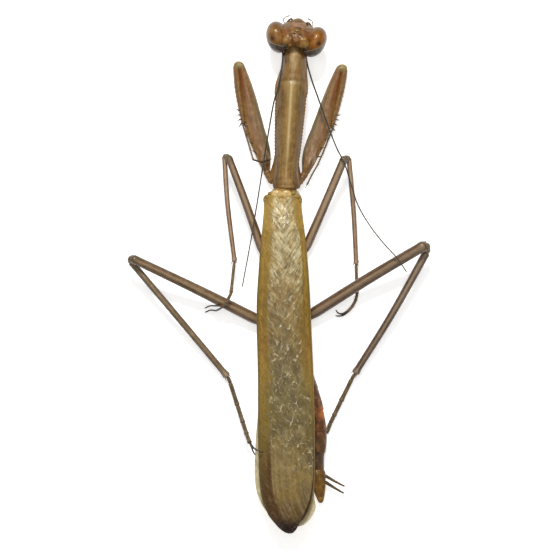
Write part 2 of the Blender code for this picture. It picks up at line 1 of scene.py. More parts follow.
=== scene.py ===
# Praying mantis: the finished look of a brown winged male that lies belly down, around its solid model.
# Lengths in the dictionaries are millimetres in the model's frame: head to -Y, back up, left side at +X.
import bisect
import math
import random

import bmesh
import bpy
from mathutils import Matrix, Vector, noise


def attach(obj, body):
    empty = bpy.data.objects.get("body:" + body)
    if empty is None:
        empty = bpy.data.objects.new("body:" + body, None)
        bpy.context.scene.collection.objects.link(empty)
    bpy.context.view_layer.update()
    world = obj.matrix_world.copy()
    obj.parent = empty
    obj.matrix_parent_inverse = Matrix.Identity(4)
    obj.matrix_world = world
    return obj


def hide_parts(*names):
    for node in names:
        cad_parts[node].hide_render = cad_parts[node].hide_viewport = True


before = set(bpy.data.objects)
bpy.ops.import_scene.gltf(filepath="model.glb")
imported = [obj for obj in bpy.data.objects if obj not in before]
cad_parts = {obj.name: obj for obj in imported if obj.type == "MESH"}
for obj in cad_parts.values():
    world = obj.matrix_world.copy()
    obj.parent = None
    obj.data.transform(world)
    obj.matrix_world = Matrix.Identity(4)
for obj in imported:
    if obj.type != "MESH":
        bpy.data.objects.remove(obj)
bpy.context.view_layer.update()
mm = 0.001
rng = random.Random(11)


def curveAt(table, place):
    # value of a smooth curve through (place, value) rows
    places = [row[0] for row in table]
    if place <= places[0]:
        return table[0][1]
    if place >= places[-1]:
        return table[-1][1]
    k = bisect.bisect_right(places, place) - 1

    def slope(i):
        low, high = max(i - 1, 0), min(i + 1, len(table) - 1)
        return (table[high][1] - table[low][1]) / (places[high] - places[low])

    span = places[k + 1] - places[k]
    t = (place - places[k]) / span
    start, end = table[k][1], table[k + 1][1]
    bow = slope(k) * (t ** 3 - 2 * t ** 2 + t) + slope(k + 1) * (t ** 3 - t ** 2)
    return start * (2 * t ** 3 - 3 * t ** 2 + 1) + end * (3 * t ** 2 - 2 * t ** 3) + bow * span


def curvesOf(table):
    # one curve for each column of a table after the first
    return [[(row[0], row[k]) for row in table] for k in range(1, len(table[0]))]


def blend(a, b, t):
    return a + (b - a) * t


def smoothStep(low, high, value):
    t = min(max((value - low) / (high - low), 0.0), 1.0)
    return t * t * (3 - 2 * t)


def hump(distance, width):
    return math.exp(-(distance / width) ** 2)


def layLane(points, steps=16):
    # a smooth lane through a few places: at each step its length so far, centre, direction, side and top
    tables = [[(i, p[axis]) for i, p in enumerate(points)] for axis in range(3)]
    count = (len(points) - 1) * steps
    centres = [Vector([curveAt(t, i / steps) for t in tables]) for i in range(count + 1)]
    lane = []
    length = 0.0
    side = None
    for i, centre in enumerate(centres):
        along = (centres[min(i + 1, count)] - centres[max(i - 1, 0)]).normalized()
        if side is None:
            side = along.cross(Vector((0, 0, 1)))
            side = side if side.length > 0.2 else Vector((1, 0, 0))
        side = (side - along * side.dot(along)).normalized()
        if i:
            length += (centre - centres[i - 1]).length
        lane.append((length, centre, along, side.copy(), side.cross(along)))
    return lane


def laneAt(lane, length):
    k = bisect.bisect_right(lane, length, key=lambda row: row[0]) - 1
    k = min(max(k, 0), len(lane) - 2)
    span = lane[k + 1][0] - lane[k][0]
    t = (length - lane[k][0]) / span          # past either end the lane runs straight on
    centre = lane[k][1].lerp(lane[k + 1][1], t)
    return (centre, *lane[k][2:])


def tube(lane, start, end, half, sides, rings, relief=None, ends=(1.0, 1.0), ease=0.5):
    # a closed tube along part of a lane; half(share) gives its half width and half height, or its radius
    bm = bmesh.new()
    bmesh.ops.create_cone(bm, cap_ends=True, segments=sides, radius1=1, radius2=1, depth=1)
    lengthways = [e for e in bm.edges if abs(e.verts[0].co.z - e.verts[1].co.z) > 0.5]
    bmesh.ops.subdivide_edges(bm, edges=lengthways, cuts=rings - 2)
    straight = bm.verts.layers.float_vector.new("straight")
    length = end - start
    rows = {}
    for vert in bm.verts:
        level = round(vert.co.z + 0.5, 5)
        if level not in rows:
            share = level + ease * (level * level * (3 - 2 * level) - level)
            size = half(share)
            wide, high = size if isinstance(size, tuple) else (size, size)
            inset = min(1.0, share * length / (ends[0] * wide), (1 - share) * length / (ends[1] * wide))
            squeeze = max(0.03, math.sqrt(max(0.0, 1 - (1 - inset) ** 2)))
            spot = laneAt(lane, start + length * share)
            rows[level] = (share, wide * squeeze, high * squeeze, squeeze, spot)
        share, wide, high, squeeze, spot = rows[level]
        centre, _, side, top = spot
        turn = math.atan2(vert.co.y, vert.co.x)
        out = relief(share, turn) * squeeze if relief else 0.0
        x, y = (wide + out) * math.cos(turn), (high + out) * math.sin(turn)
        vert.co = centre + side * x + top * y
        vert[straight] = (x, y, start + length * share)
    return bm


def hoop(placeAt, corners, radius, sides, rings):
    # a closed ring of thin tube through placeAt(angle)
    lane = layLane([placeAt(math.tau * i / corners) for i in range(corners + 1)], 4)
    return tube(lane, 0, lane[-1][0], lambda share: radius, sides, rings, ends=(0.1, 0.1), ease=0)


def gather(parts):
    # several bmeshes as one
    whole = bmesh.new()
    carrier = bpy.data.meshes.new("carrier")
    for part in parts:
        part.to_mesh(carrier)
        part.free()
        whole.from_mesh(carrier)
    bpy.data.meshes.remove(carrier)
    return whole


def ball(centre, half, rings, turned=Matrix.Identity(4)):
    # an ellipsoid whose "straight" coordinates are those of its unit sphere
    bm = bmesh.new()
    bmesh.ops.create_uvsphere(bm, u_segments=rings[0], v_segments=rings[1], radius=1.0,
                              matrix=Matrix.Rotation(math.radians(90), 4, "Y"))
    straight = bm.verts.layers.float_vector.new("straight")
    for vert in bm.verts:
        vert[straight] = vert.co
    bm.transform(Matrix.Translation(centre) @ turned @ Matrix.Diagonal((*half, 1)))
    return bm


def spikes(rows, sides, bend=0.12):
    # pointed curved cones from (root, tip, radius) rows
    parts = []
    for root, tip, radius in rows:
        root, tip = Vector(root), Vector(tip)
        along = tip - root
        bow = along.cross(Vector((0, 0, 1)))
        bow = bow.normalized() * along.length * bend if bow.length > 1e-6 else Vector()
        lane = layLane([root, root.lerp(tip, 0.5) + bow, tip], 6)
        parts.append(tube(lane, 0, lane[-1][0], lambda s, r=radius: r * (1 - 0.92 * s), sides, 7,
                          ends=(0.3, 0.2), ease=0.0))
    return parts


def bristles(rows, radius=0.018):
    # straight fine hairs from (root, tip) rows, three-sided
    bm = bmesh.new()
    for root, tip in rows:
        along = tip - root
        place = Matrix.Translation((root + tip) / 2) @ along.to_track_quat("Z", "Y").to_matrix().to_4x4()
        bmesh.ops.create_cone(bm, cap_ends=True, segments=3, radius1=radius, radius2=radius * 0.2,
                              depth=along.length, matrix=place)
    return bm


def limbHairs(lane, radius, count, span=(0.05, 0.98), length=(0.22, 0.4)):
    # places for fine hairs that lean along a limb, as (root, tip) rows
    rows = []
    for _ in range(count):
        centre, along, side, top = laneAt(lane, rng.uniform(*span) * lane[-1][0])
        turn = rng.uniform(0, math.tau)
        out = side * math.cos(turn) + top * math.sin(turn)
        root = centre + out * radius
        rows.append((root, root + (out * 0.6 + along * 0.8) * rng.uniform(*length)))
    return rows


def setPiece(name, bm, finish, nodes=()):
    # turns a bmesh in millimetres into a piece of the model
    bmesh.ops.recalc_face_normals(bm, faces=bm.faces)
    for vert in bm.verts:                      # nothing reaches below the floor
        vert.co.z = max(vert.co.z, 0.0)
    bm.transform(Matrix.Scale(mm, 4))
    mesh = bpy.data.meshes.new(name)
    bm.to_mesh(mesh)
    bm.free()
    mesh.shade_smooth()
    mesh.materials.append(finish)
    piece = bpy.data.objects.new(name, mesh)
    bpy.context.scene.collection.objects.link(piece)
    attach(piece, "root")
    if nodes:
        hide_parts(*nodes)


def tone(red, green, blue):
    # a colour as seen on a screen, 0 to 255, in the linear values that a shader takes
    linear = (((c / 255 + 0.055) / 1.055) ** 2.4 if c > 10 else c / 3295 for c in (red, green, blue))
    return (*linear, 1.0)


def feed(value, socket):
    # links a node's output, or sets a plain value
    if isinstance(value, bpy.types.NodeSocket):
        value.id_data.links.new(value, socket)
    else:
        socket.default_value = value


def addNode(kind, values, output=0, **settings):
    # a node in the tree that its linked values come from
    linked = [value for value in values.values() if isinstance(value, bpy.types.NodeSocket)]
    made = linked[0].id_data.nodes.new("ShaderNode" + kind)
    for key, setting in settings.items():
        setattr(made, key, setting)
    for key, value in values.items():
        feed(value, made.inputs[key])
    return made.outputs[output]


def newFinish(name, roughness, coat=0.0, coatRoughness=0.15):
    finish = bpy.data.materials.new(name)
    finish.use_nodes = True
    shader = finish.node_tree.nodes["Principled BSDF"]
    shader.inputs["Roughness"].default_value = roughness
    shader.inputs["Specular IOR Level"].default_value = 0.3
    shader.inputs["Coat Weight"].default_value = coat
    shader.inputs["Coat Roughness"].default_value = coatRoughness
    return finish, shader


def bodyPlace(shader):
    # millimetres in the model's frame
    place = shader.id_data.nodes.new("ShaderNodeTexCoord").outputs["Object"]
    return stretched(place, (1000, 1000, 1000))


def straightPlace(shader):
    # millimetres across, up and along a limb as if it were straight
    made = shader.id_data.nodes.new("ShaderNodeAttribute")
    made.attribute_name = "straight"
    return made.outputs["Vector"]


def stretched(vector, scale, turn=(0, 0, 0), shift=(0, 0, 0)):
    turn = [math.radians(angle) for angle in turn]
    return addNode("Mapping", {"Vector": vector, "Scale": scale, "Rotation": turn, "Location": shift})


def axisOf(vector, axis):
    return addNode("SeparateXYZ", {0: vector}, axis)


def noiseAt(vector, scale, detail=3.0, rough=0.55, distortion=0.0):
    return addNode("TexNoise", {"Vector": vector, "Scale": scale, "Detail": detail, "Roughness": rough,
                                "Distortion": distortion}, "Fac")


def cellsAt(vector, scale, feature="F1", uneven=1.0):
    return addNode("TexVoronoi", {"Vector": vector, "Scale": scale, "Randomness": uneven}, "Distance",
                   feature=feature)


def remap(value, low, high, toLow=0.0, toHigh=1.0):
    return addNode("MapRange", {"Value": value, "From Min": low, "From Max": high, "To Min": toLow,
                                "To Max": toHigh}, "Result", interpolation_type="SMOOTHSTEP")


def maths(operation, *values):
    return addNode("Math", dict(enumerate(values)), operation=operation)


def distanceTo(value, place):
    return maths("ABSOLUTE", maths("SUBTRACT", value, place))


def product(*values):
    total = values[0]
    for value in values[1:]:
        total = maths("MULTIPLY", total, value)
    return total


def weighted(*pairs):
    # sum of value times weight
    total = 0.0
    for value, weight in pairs:
        total = maths("MULTIPLY_ADD", value, weight, total)
    return total


def mixTone(factor, a, b, kind="MIX"):
    # colours are screen colours or a node's output
    a, b = (tone(*colour) if isinstance(colour, tuple) else colour for colour in (a, b))
    return addNode("Mix", {0: factor, 6: a, 7: b}, 2, data_type="RGBA", blend_type=kind)


def tint(colour, mark, *masks):
    # lays a mark over a colour where every mask is up; a plain number among them weakens it
    return mixTone(product(*masks), colour, mark)


def rampOf(value, stops):
    made = addNode("ValToRGB", {0: value}).node
    marks = made.color_ramp.elements
    while len(marks) < len(stops):
        marks.new(0.5)
    for mark, (place, colour) in zip(marks, stops):
        mark.position = place
        mark.color = tone(*colour)
    return made.outputs[0]


def setBump(shader, height, depth):
    bump = addNode("Bump", {"Height": height, "Strength": 1.0, "Distance": depth * mm})
    feed(bump, shader.inputs["Normal"])


def spotAt(place, centre, reach, soft):
    # 1 at a centre, fading to 0 at its reach in each direction
    away = stretched(place, [1 / r for r in reach], shift=[-c / r for c, r in zip(centre, reach)])
    return remap(addNode("VectorMath", {0: away}, "Value", operation="LENGTH"), 1.0, soft)


def shellFinish(name, tones, grain, streaks, roughness=0.42, depth=0.02, coat=0.25, marks=None,
                place=straightPlace):
    # insect shell: blotches, streaks along the limb, fine pits, and whatever marks(colour, place) adds
    finish, shader = newFinish(name, roughness, coat, 0.2)
    spot = place(shader)
    blotch = noiseAt(spot, 0.9 * grain)
    streak = noiseAt(stretched(spot, (3.2, 3.2, 0.22)), grain)
    fine = noiseAt(spot, 6.5 * grain, 4, 0.65)
    pits = cellsAt(spot, 5.5 * grain)
    value = weighted((blotch, 0.62 - 0.4 * streaks), (streak, 0.4 * streaks), (fine, 0.38))
    colour = rampOf(value, list(zip((0.36, 0.5, 0.64), tones)))
    shade = remap(pits, 0.0, 0.22, 0.72, 1.0)
    grey = addNode("CombineColor", {0: shade, 1: shade, 2: shade})
    colour = mixTone(0.35, colour, mixTone(1.0, colour, grey, "MULTIPLY"))
    if marks:
        colour = marks(colour, spot)
    feed(colour, shader.inputs["Base Color"])
    feed(remap(fine, 0.3, 0.7, roughness - 0.1, roughness + 0.14), shader.inputs["Roughness"])
    setBump(shader, weighted((fine, 0.5), (streak, 0.9 * streaks), (pits, 0.35)), depth * 3)
    return finish


view = {
    "middle": (0.66, 0.5),           # the point in the middle of the frame
    "width": 91.3,                   # what the frame takes in at the height of the back
    "backHeight": 3.0,
    "distance": 620.0,
    "sensor": 36.0,
}
lamps = {
    "flash": {"at": (25, -310, 350), "size": 70, "power": 1.6, "colour": (1.0, 0.98, 0.94)},
    "top": {"at": (20, -40, 600), "size": 420, "power": 0.95, "colour": (1.0, 1.0, 1.0)},
    "back": {"at": (-150, 420, 260), "size": 260, "power": 0.1, "colour": (0.97, 0.98, 1.0)},
}
room = {"tone": (1.0, 1.0, 1.0, 1.0), "strength": 0.2, "floorTone": (0.93, 0.93, 0.92, 1.0),
        "floorGlow": 0.56}


def aimAt(obj, place, target):
    obj.location = Vector(place) * mm
    obj.rotation_euler = (Vector(target) - Vector(place)).to_track_quat("-Z", "Y").to_euler()


def buildView():
    lens = bpy.data.cameras.new("camera")
    lens.sensor_width = view["sensor"]
    lens.lens = view["sensor"] * (view["distance"] - view["backHeight"]) / view["width"]
    lens.clip_start, lens.clip_end = 0.01, 20.0
    camera = bpy.data.objects.new("camera", lens)
    bpy.context.scene.collection.objects.link(camera)
    camera.location = Vector((*view["middle"], view["distance"])) * mm
    camera.rotation_euler = (0, 0, math.pi)          # straight down, with the head at the top
    bpy.context.scene.camera = camera
    bpy.context.scene.view_settings.view_transform = "Standard"


def buildLight():
    for name, lamp in lamps.items():
        data = bpy.data.lights.new(name, "AREA")
        data.size = lamp["size"] * mm
        data.energy = lamp["power"]
        data.color = lamp["colour"]
        light = bpy.data.objects.new(name, data)
        bpy.context.scene.collection.objects.link(light)
        aimAt(light, lamp["at"], (0, 0, 3))
    world = bpy.data.worlds.new("room")
    world.use_nodes = True
    sky = world.node_tree.nodes["Background"]
    sky.inputs["Color"].default_value = room["tone"]
    sky.inputs["Strength"].default_value = room["strength"]
    bpy.context.scene.world = world


def buildFloor():
    bm = bmesh.new()
    bmesh.ops.create_grid(bm, x_segments=1, y_segments=1, size=3.0)
    bmesh.ops.translate(bm, verts=bm.verts, vec=(0, 0, -0.02 * mm))
    mesh = bpy.data.meshes.new("floor")
    bm.to_mesh(mesh)
    bm.free()
    floor = bpy.data.objects.new("floor", mesh)
    bpy.context.scene.collection.objects.link(floor)
    finish, shader = newFinish("paleFloor", 0.7)
    grain = noiseAt(bodyPlace(shader), 0.15, 2)
    pale = room["floorTone"]
    faded = (*(c * 0.985 for c in pale[:3]), 1.0)
    feed(addNode("Mix", {0: grain, 6: faded, 7: pale}, 2, data_type="RGBA"), shader.inputs["Base Color"])
    shader.inputs["Specular IOR Level"].default_value = 0.1
    shader.inputs["Emission Color"].default_value = room["tone"]
    shader.inputs["Emission Strength"].default_value = room["floorGlow"]
    mesh.materials.append(finish)


buildView()
buildLight()
buildFloor()
print("camera, lamps and floor set")

head = {
    "centre": (-2.9, -39.05, 4.3),
    "yaw": -7.5,
    "tilt": -20,                      # the chin points forward and down
    # level along the face, half width, face, back
    "rows": ((-3.45, 0.75, -1.6, -0.75), (-3.3, 0.95, -1.75, -0.6), (-2.7, 1.25, -1.98, -0.2),
             (-1.8, 1.8, -2.15, 0.2), (-0.8, 2.6, -2.2, 0.5), (0.2, 2.95, -2.15, 0.75),
             (1.1, 3.0, -1.9, 0.95), (1.8, 2.95, -1.6, 1.15), (2.35, 2.7, -1.2, 1.3),
             (2.75, 2.3, -0.66, 1.15), (2.95, 1.6, -0.1, 0.75)),
    "boxy": 0.74,
    "eyeHalf": (1.88, 2.68, 2.52),
    "eyeAt": (3.08, 0.42, 0.5),
    "eyeTurn": 20,                    # the rear ends turn inward
    "rim": {"out": 2.45, "lean": 0.42, "long": 1.95, "high": 2.15, "radius": 0.13},
    "ocellusRim": {"reach": 1.25, "radius": 0.06},
    "ocelli": ((0.0, -1.47, 2.05, 0.19), (0.48, -1.2, 2.4, 0.1), (-0.48, -1.2, 2.4, 0.1)),
    # knobs on the crown: across, back, radius, height
    "knobs": ((1.66, 0.13, 0.85, 0.34), (-1.6, 0.25, 0.8, 0.3), (0.95, -0.4, 0.32, 0.14),
              (-0.92, -0.5, 0.32, 0.14), (-1.48, -0.55, 0.34, 0.14), (1.45, -0.75, 0.3, 0.12),
              (-0.96, 0.6, 0.45, 0.16), (0.9, 0.7, 0.4, 0.12)),
}
headFrame = (Matrix.Translation(head["centre"]) @ Matrix.Rotation(math.radians(head["yaw"]), 4, "Z")
             @ Matrix.Rotation(math.radians(head["tilt"]), 4, "X"))
headTones = ((60, 32, 4), (114, 70, 14), (150, 102, 30))


def headMarks(colour, place):
    # warm cheeks, a pinkish crown, olive face, pale bumps along the back of the crown and painted light on
    # the nape
    fine = noiseAt(place, 2.6, 4, 0.6)
    wrinkle = noiseAt(stretched(place, (1.2, 2.2, 5.5)), 1.6, 4, 0.65, 0.8)
    patches = []
    for side in (-1, 1):               # cheek, dark hollow, root of the feeler
        patches += [((128, 72, 30), 0.6, (side * 2.2, -1.2, 2.2), (1.0, 1.2, 1.3), 0.2),
                    ((58, 34, 18), 0.6, (side * 0.85, -0.95, 2.75), (0.45, 0.35, 0.5), 0.3),
                    ((96, 84, 44), 0.5, (side * 1.9, -2.0, 0.6), (0.9, 0.8, 1.0), 0.3)]
    patches += [((180, 138, 72), 0.6, (x, y, 2.9), (radius, radius, 0.8), 0.3)
                for x, y, radius, _ in head["knobs"]]
    # simple eyes, crown, and a pale nape patch, painted light that lifts the shade between the crown's
    # knobs and the neck
    patches += [((132, 108, 36), 0.5, (0.0, -1.5, 2.0), (0.75, 0.5, 0.75), 0.3),
                ((158, 110, 72), 0.6, (0.0, -0.3, 2.9), (0.6, 0.42, 0.6), 0.35),
                ((184, 136, 74), 0.6, (0.0, 1.0, 2.2), (1.9, 0.8, 1.2), 0.3)]
    for mark, strength, centre, reach, soft in patches:
        colour = tint(colour, mark, spotAt(place, centre, reach, soft), strength)
    colour = tint(colour, (92, 70, 24), remap(axisOf(place, 2), 0.2, -1.2), 0.6)
    bands = remap(wrinkle, 0.5, 0.62)
    belt = spotAt(place, (0.0, -2.0, 0.2), (1.8, 1.2, 1.5), 0.4)
    colour = tint(colour, (144, 96, 50), bands, belt, 0.7)
    return tint(colour, (74, 44, 20), remap(wrinkle, 0.44, 0.37), fine, 1.1)


headFinish = shellFinish("headShell", headTones, 1.5, 0.15, 0.34, 0.018, 0.2, headMarks)


def headPoint(turn, level):
    # a place on the outline at one level of the head, and the middle of that outline
    wide, face, back = (curveAt(curve, level) for curve in curvesOf(head["rows"]))
    x = wide * math.copysign(abs(math.cos(turn)) ** head["boxy"], math.cos(turn))
    middle, deep = (face + back) / 2, (back - face) / 2
    y = middle + deep * math.copysign(abs(math.sin(turn)) ** head["boxy"], math.sin(turn))
    front = max(0.0, -math.sin(turn))
    y -= front * 0.45 * hump(math.hypot(x / 1.05, (level + 1.75) / 1.05), 1)
    y -= front * 0.3 * hump(math.hypot(x / 0.75, (level - 1.45) / 0.55), 1)
    return x, y, middle


def buildHead():
    low, high = head["rows"][0][0], head["rows"][-1][0]
    lane = layLane([(0, 0, low), (0, 0, high)], 8)
    bm = tube(lane, 0, high - low, lambda share: 1, 96, 84, ends=(0.01, 0.01), ease=0.45)
    straight = bm.verts.layers.float_vector["straight"]
    for vert in bm.verts:
        x, y, length = vert[straight]
        turn = math.atan2(y, x)
        level = low + length
        cap = 1.0 if math.hypot(x, y) > 0.5 else 0.03
        px, py, middle = headPoint(turn, level)
        spot = Vector((px * cap, middle + (py - middle) * cap, level))
        # rounded crown, two swellings behind the eyes, a furrow between, and small wrinkles
        rise = sum(height * hump(math.hypot(spot.x - x, spot.y - y) / radius, 1)
                   for x, y, radius, height in head["knobs"])
        top = smoothStep(1.9, 2.8, level)
        spot.z += top * (rise + 0.1 * hump(spot.x, 0.7) - 0.1 * hump(abs(spot.x) - 0.5, 0.14))
        spot.y -= 0.5 * hump(spot.x, 0.75) * smoothStep(0.4, 1.4, spot.y)
        wrinkle = noise.noise(Vector((spot.x * 1.4, spot.y * 2.0, spot.z * 4.2)))
        grain = noise.noise(spot * 5.0)
        outward = Vector((spot.x * 0.6, spot.y - middle, 0.3)).normalized()
        spot += outward * (0.055 * wrinkle + 0.022 * grain)
        # grooves that part the cheeks from the face, and the shield above the mouth
        groove = hump(abs(spot.x) - (1.0 + 0.25 * (level + 1.8)), 0.11) * smoothStep(-2.6, -1.5, level)
        groove *= smoothStep(1.2, 0.2, level)
        shield = hump(level + 2.55 - 0.25 * abs(spot.x), 0.1) + hump(level + 0.55 + 0.2 * abs(spot.x), 0.1)
        if math.sin(turn) < 0:
            spot.y += 0.09 * groove + 0.08 * shield
        vert.co = headFrame @ spot
        vert[straight] = spot
    setPiece("headCapsule", bm, headFinish, ["head"])


def eyeFinishOf(word, eye):
    # amber eye: a dark false pupil, grey-brown rear with a pale line before it, tiny facets
    pupil, marksTone, (slope, level) = eye["pupil"], eye["tones"], eye["line"]
    finish, shader = newFinish(f"eye{word}", 0.26, 0.18, 0.08)
    place = straightPlace(shader)
    cloud = noiseAt(place, 1.8, 4, 0.6)
    colour = rampOf(cloud, [(0.32, marksTone[0]), (0.5, marksTone[1]), (0.7, marksTone[2])])
    disc = spotAt(place, (eye["side"] * 0.05, -0.28, 0.4), (1.1, 0.85, 2.0), 0.35)
    colour = tint((82, 58, 20), colour, disc)
    colour = tint(colour, (104, 66, 34), spotAt(place, pupil, (0.6, 0.42, 0.75), 0.25), 0.45)
    colour = tint(colour, (56, 34, 22), spotAt(place, pupil, (0.34, 0.22, 0.46), 0.1), 0.85)
    rear = weighted((axisOf(place, 1), 1.0), (axisOf(place, 0), slope))
    behind = remap(rear, level, level + 0.06)
    greys = rampOf(cloud, [(0.35, (60, 53, 50)), (0.6, (108, 98, 90))])
    colour = tint(colour, greys, behind, 0.95)
    line = product(remap(rear, level - 0.04, level), remap(rear, level + 0.07, level + 0.02))
    colour = tint(colour, (186, 164, 126), line, 0.45)
    feed(colour, shader.inputs["Base Color"])
    facets = cellsAt(place, 26.0, "F1", 0.25)
    feed(remap(cloud, 0.3, 0.7, 0.16, 0.3), shader.inputs["Roughness"])
    setBump(shader, facets, 0.012)
    return finish


eyes = {
    "Left": {"side": 1, "pupil": (0.35, -0.22, 0.9), "line": (0.4, 0.24),
             "tones": ((100, 62, 20), (138, 96, 44), (162, 122, 66))},
    "Right": {"side": -1, "pupil": (-0.27, -0.26, 0.92), "line": (-0.75, 0.3),
              "tones": ((108, 58, 10), (148, 92, 24), (168, 112, 42))},
}


def rimPlace(side, angle):
    rim = head["rim"]
    _, back, up = head["eyeAt"]
    out = rim["out"] - rim["lean"] * math.sin(angle)
    return side * out, back + rim["long"] * math.sin(angle), up + rim["high"] * math.cos(angle)


def buildEyes():
    for word, eye in eyes.items():
        out, back, up = head["eyeAt"]
        spot = headFrame @ Vector((eye["side"] * out, back, up))
        facing = Matrix.Rotation(math.radians(eye["side"] * head["eyeTurn"]), 4, "Z")
        turned = headFrame.to_3x3().to_4x4() @ facing
        bm = ball(spot, head["eyeHalf"], (64, 44), turned)
        finish = eyeFinishOf(word, eye)
        setPiece(f"eye{word}", bm, finish, [f"eye_{word.lower()}"])
        # a rim of shell seats each eye in the head
        rim = hoop(lambda angle: rimPlace(eye["side"], angle), 16, head["rim"]["radius"], 8, 96)
        rim.transform(headFrame)
        setPiece(f"eyeRim{word}", rim, headFinish)


def buildOcelli():
    finish, shader = newFinish("ocellus", 0.15, 0.8, 0.05)
    glow = noiseAt(straightPlace(shader), 1.5)
    feed(rampOf(glow, [(0.3, (120, 88, 20)), (0.7, (184, 152, 50))]), shader.inputs["Base Color"])
    balls = [ball(headFrame @ Vector(row[:3]), (row[3],) * 3, (16, 10)) for row in head["ocelli"]]
    setPiece("ocelli", gather(balls), finish)
    rings = []
    for x, y, z, radius in head["ocelli"]:
        reach = radius * head["ocellusRim"]["reach"]

        def ringAt(angle):
            return x + reach * math.cos(angle), y - 0.02, z + reach * math.sin(angle)

        rings.append(hoop(ringAt, 12, head["ocellusRim"]["radius"], 6, 48))
    whole = gather(rings)
    whole.transform(headFrame)
    setPiece("ocellusRims", whole, headFinish)


mouth = {
    "rows": ((-3.3, 0.86, -1.78, -0.6), (-3.7, 0.9, -1.72, -0.62), (-4.05, 0.78, -1.62, -0.62),
             (-4.3, 0.5, -1.45, -0.7), (-4.38, 0.25, -1.3, -0.85)),
    "palps": {"left": [(-1.55, -41.3, 1.75), (-0.75, -41.6, 1.6), (-0.95, -42.3, 1.9),
                       (-1.85, -42.65, 2.3)],
              "right": [(-4.75, -40.9, 1.75), (-5.6, -41.0, 1.6), (-5.45, -41.75, 1.9),
                        (-4.7, -42.15, 2.3)]},
    "palpRadius": 0.12,
    "palpJoints": (0.0, 0.12, 0.3, 0.62, 1.0),
}


def buildMouth():
    low, high = mouth["rows"][-1][0], mouth["rows"][0][0]
    lane = layLane([(0, 0, high), (0, 0, low)], 8)
    bm = tube(lane, 0, high - low, lambda share: 1, 40, 30, ends=(0.01, 0.01), ease=0.2)
    straight = bm.verts.layers.float_vector["straight"]
    table = sorted(mouth["rows"])
    for vert in bm.verts:
        x, y, length = vert[straight]
        level = high - length
        turn, cap = math.atan2(y, x), (1.0 if math.hypot(x, y) > 0.5 else 0.03)
        wide, face, back = (curveAt(curve, level) for curve in curvesOf(table))
        lips = 0.1 * hump(wide * math.cos(turn), 0.07)
        y = (face + back) / 2 + (back - face) / 2 * math.sin(turn) * cap
        spot = Vector((wide * math.cos(turn) * cap, y, level))
        spot.y += lips if math.sin(turn) < 0 else 0.0
        vert.co = headFrame @ spot
        vert[straight] = spot
    setPiece("jaws", bm, headFinish, ["mouthparts"])
    for word, points in mouth["palps"].items():
        lane = layLane(points)
        whole = lane[-1][0]
        joints = mouth["palpJoints"]
        parts = [tube(lane, whole * a, whole * b,
                      lambda s: mouth["palpRadius"] * (0.7 + 0.35 * s), 12, 14, ends=(1.2, 1.2))
                 for a, b in zip(joints, joints[1:])]
        setPiece(f"{word}Palp", gather(parts), palpFinish, [f"palp_{word}"])


palpFinish = shellFinish("palpShell", ((132, 126, 104), (168, 162, 138), (190, 186, 162)), 3, 0.3)

antennae = {
    "left": [(-2.15, -41.8, 4.7), (-1.95, -41.95, 3.9), (-1.35, -41.45, 3.0), (-0.7, -40.6, 2.1),
             (-0.2, -38.8, 1.45), (-0.35, -37.4, 2.6), (-0.6, -36.4, 4.0), (-0.6, -35.2, 4.9),
             (-0.4, -33.6, 5.5), (-0.1, -31.6, 5.9), (0.35, -29.6, 5.9), (0.85, -28.1, 5.65),
             (1.7, -23.4, 3.6), (2.5, -18.6, 3.3), (3.4, -12.8, 3.9), (4.6, -5.6, 4.0), (6.1, 2.5, 3.3)],
    "right": [(-4.6, -41.2, 4.7), (-4.95, -41.25, 3.9), (-5.35, -40.8, 3.0), (-5.85, -39.9, 2.1),
              (-5.6, -38.2, 1.7), (-4.6, -36.3, 2.4), (-4.65, -34.8, 2.8), (-5.1, -33.0, 3.1),
              (-5.65, -31.2, 3.4), (-6.3, -29.4, 3.6), (-8.0, -24.6, 4.3), (-9.5, -20.6, 5.3),
              (-10.8, -18.0, 5.75), (-12.0, -14.2, 5.7), (-13.0, -11.2, 5.6), (-14.6, -8.3, 5.5),
              (-16.9, -5.2, 5.5), (-19.5, -2.3, 5.6), (-21.1, 0.0, 5.4)],
}
antennaRadius = (0.16, 0.1)          # past the two root joints, and at the tip


def antennaMarks(colour, place):
    # paler towards the tip, with a dark ring at each joint
    along = axisOf(place, 2)
    ring = maths("PINGPONG", along, 0.22)
    colour = tint(colour, (34, 27, 18), remap(ring, 0.05, 0.0, 0.0, 0.7))
    colour = tint(colour, (112, 76, 40), remap(along, 3.4, 2.0, 0.0, 0.85))
    return tint(colour, (104, 98, 82), remap(along, 24.0, 46.0, 0.0, 0.35))


feelerFinish = shellFinish("feelerShell", ((36, 34, 26), (58, 56, 44), (84, 82, 66)), 2.5, 0.3, 0.5, 0.01,
                           0.1, antennaMarks)


def buildAntennae():
    for word, route in antennae.items():
        lane = layLane(route, 12)
        length = lane[-1][0]

        def thickness(share):
            scape = 0.04 * smoothStep(0.014, 0.004, share)
            radius = blend(*antennaRadius, share ** 0.8) + scape
            return radius * (1 + 0.1 * math.cos(share * length * math.tau / 0.44)), radius
        bm = tube(lane, 0, length, thickness, 12, 420, ease=0.0)
        setPiece(f"{word}Antenna", bm, feelerFinish, [f"antenna_{word}"])


buildHead()
buildEyes()
buildOcelli()
buildMouth()
buildAntennae()
print("head built")


def alongBody(start, end, section, sides, rings, rounding, ease=0.25):
    # a closed shell along the body; section(y, turn) gives a point and the heart of its ring
    lane = layLane([(0, start, 0), (0, end, 0)], 8)
    bm = tube(lane, 0, end - start, lambda share: 1, sides, rings, None, (rounding, rounding), ease)
    straight = bm.verts.layers.float_vector["straight"]
    for vert in bm.verts:
        x, z, length = vert[straight]
        spot, heart = section(start + length, math.atan2(z, x))
        vert.co = heart.lerp(spot, min(1.0, math.hypot(x, z)))
        vert[straight] = (vert.co.x - heart.x, vert.co.z, vert.co.y)
    return bm


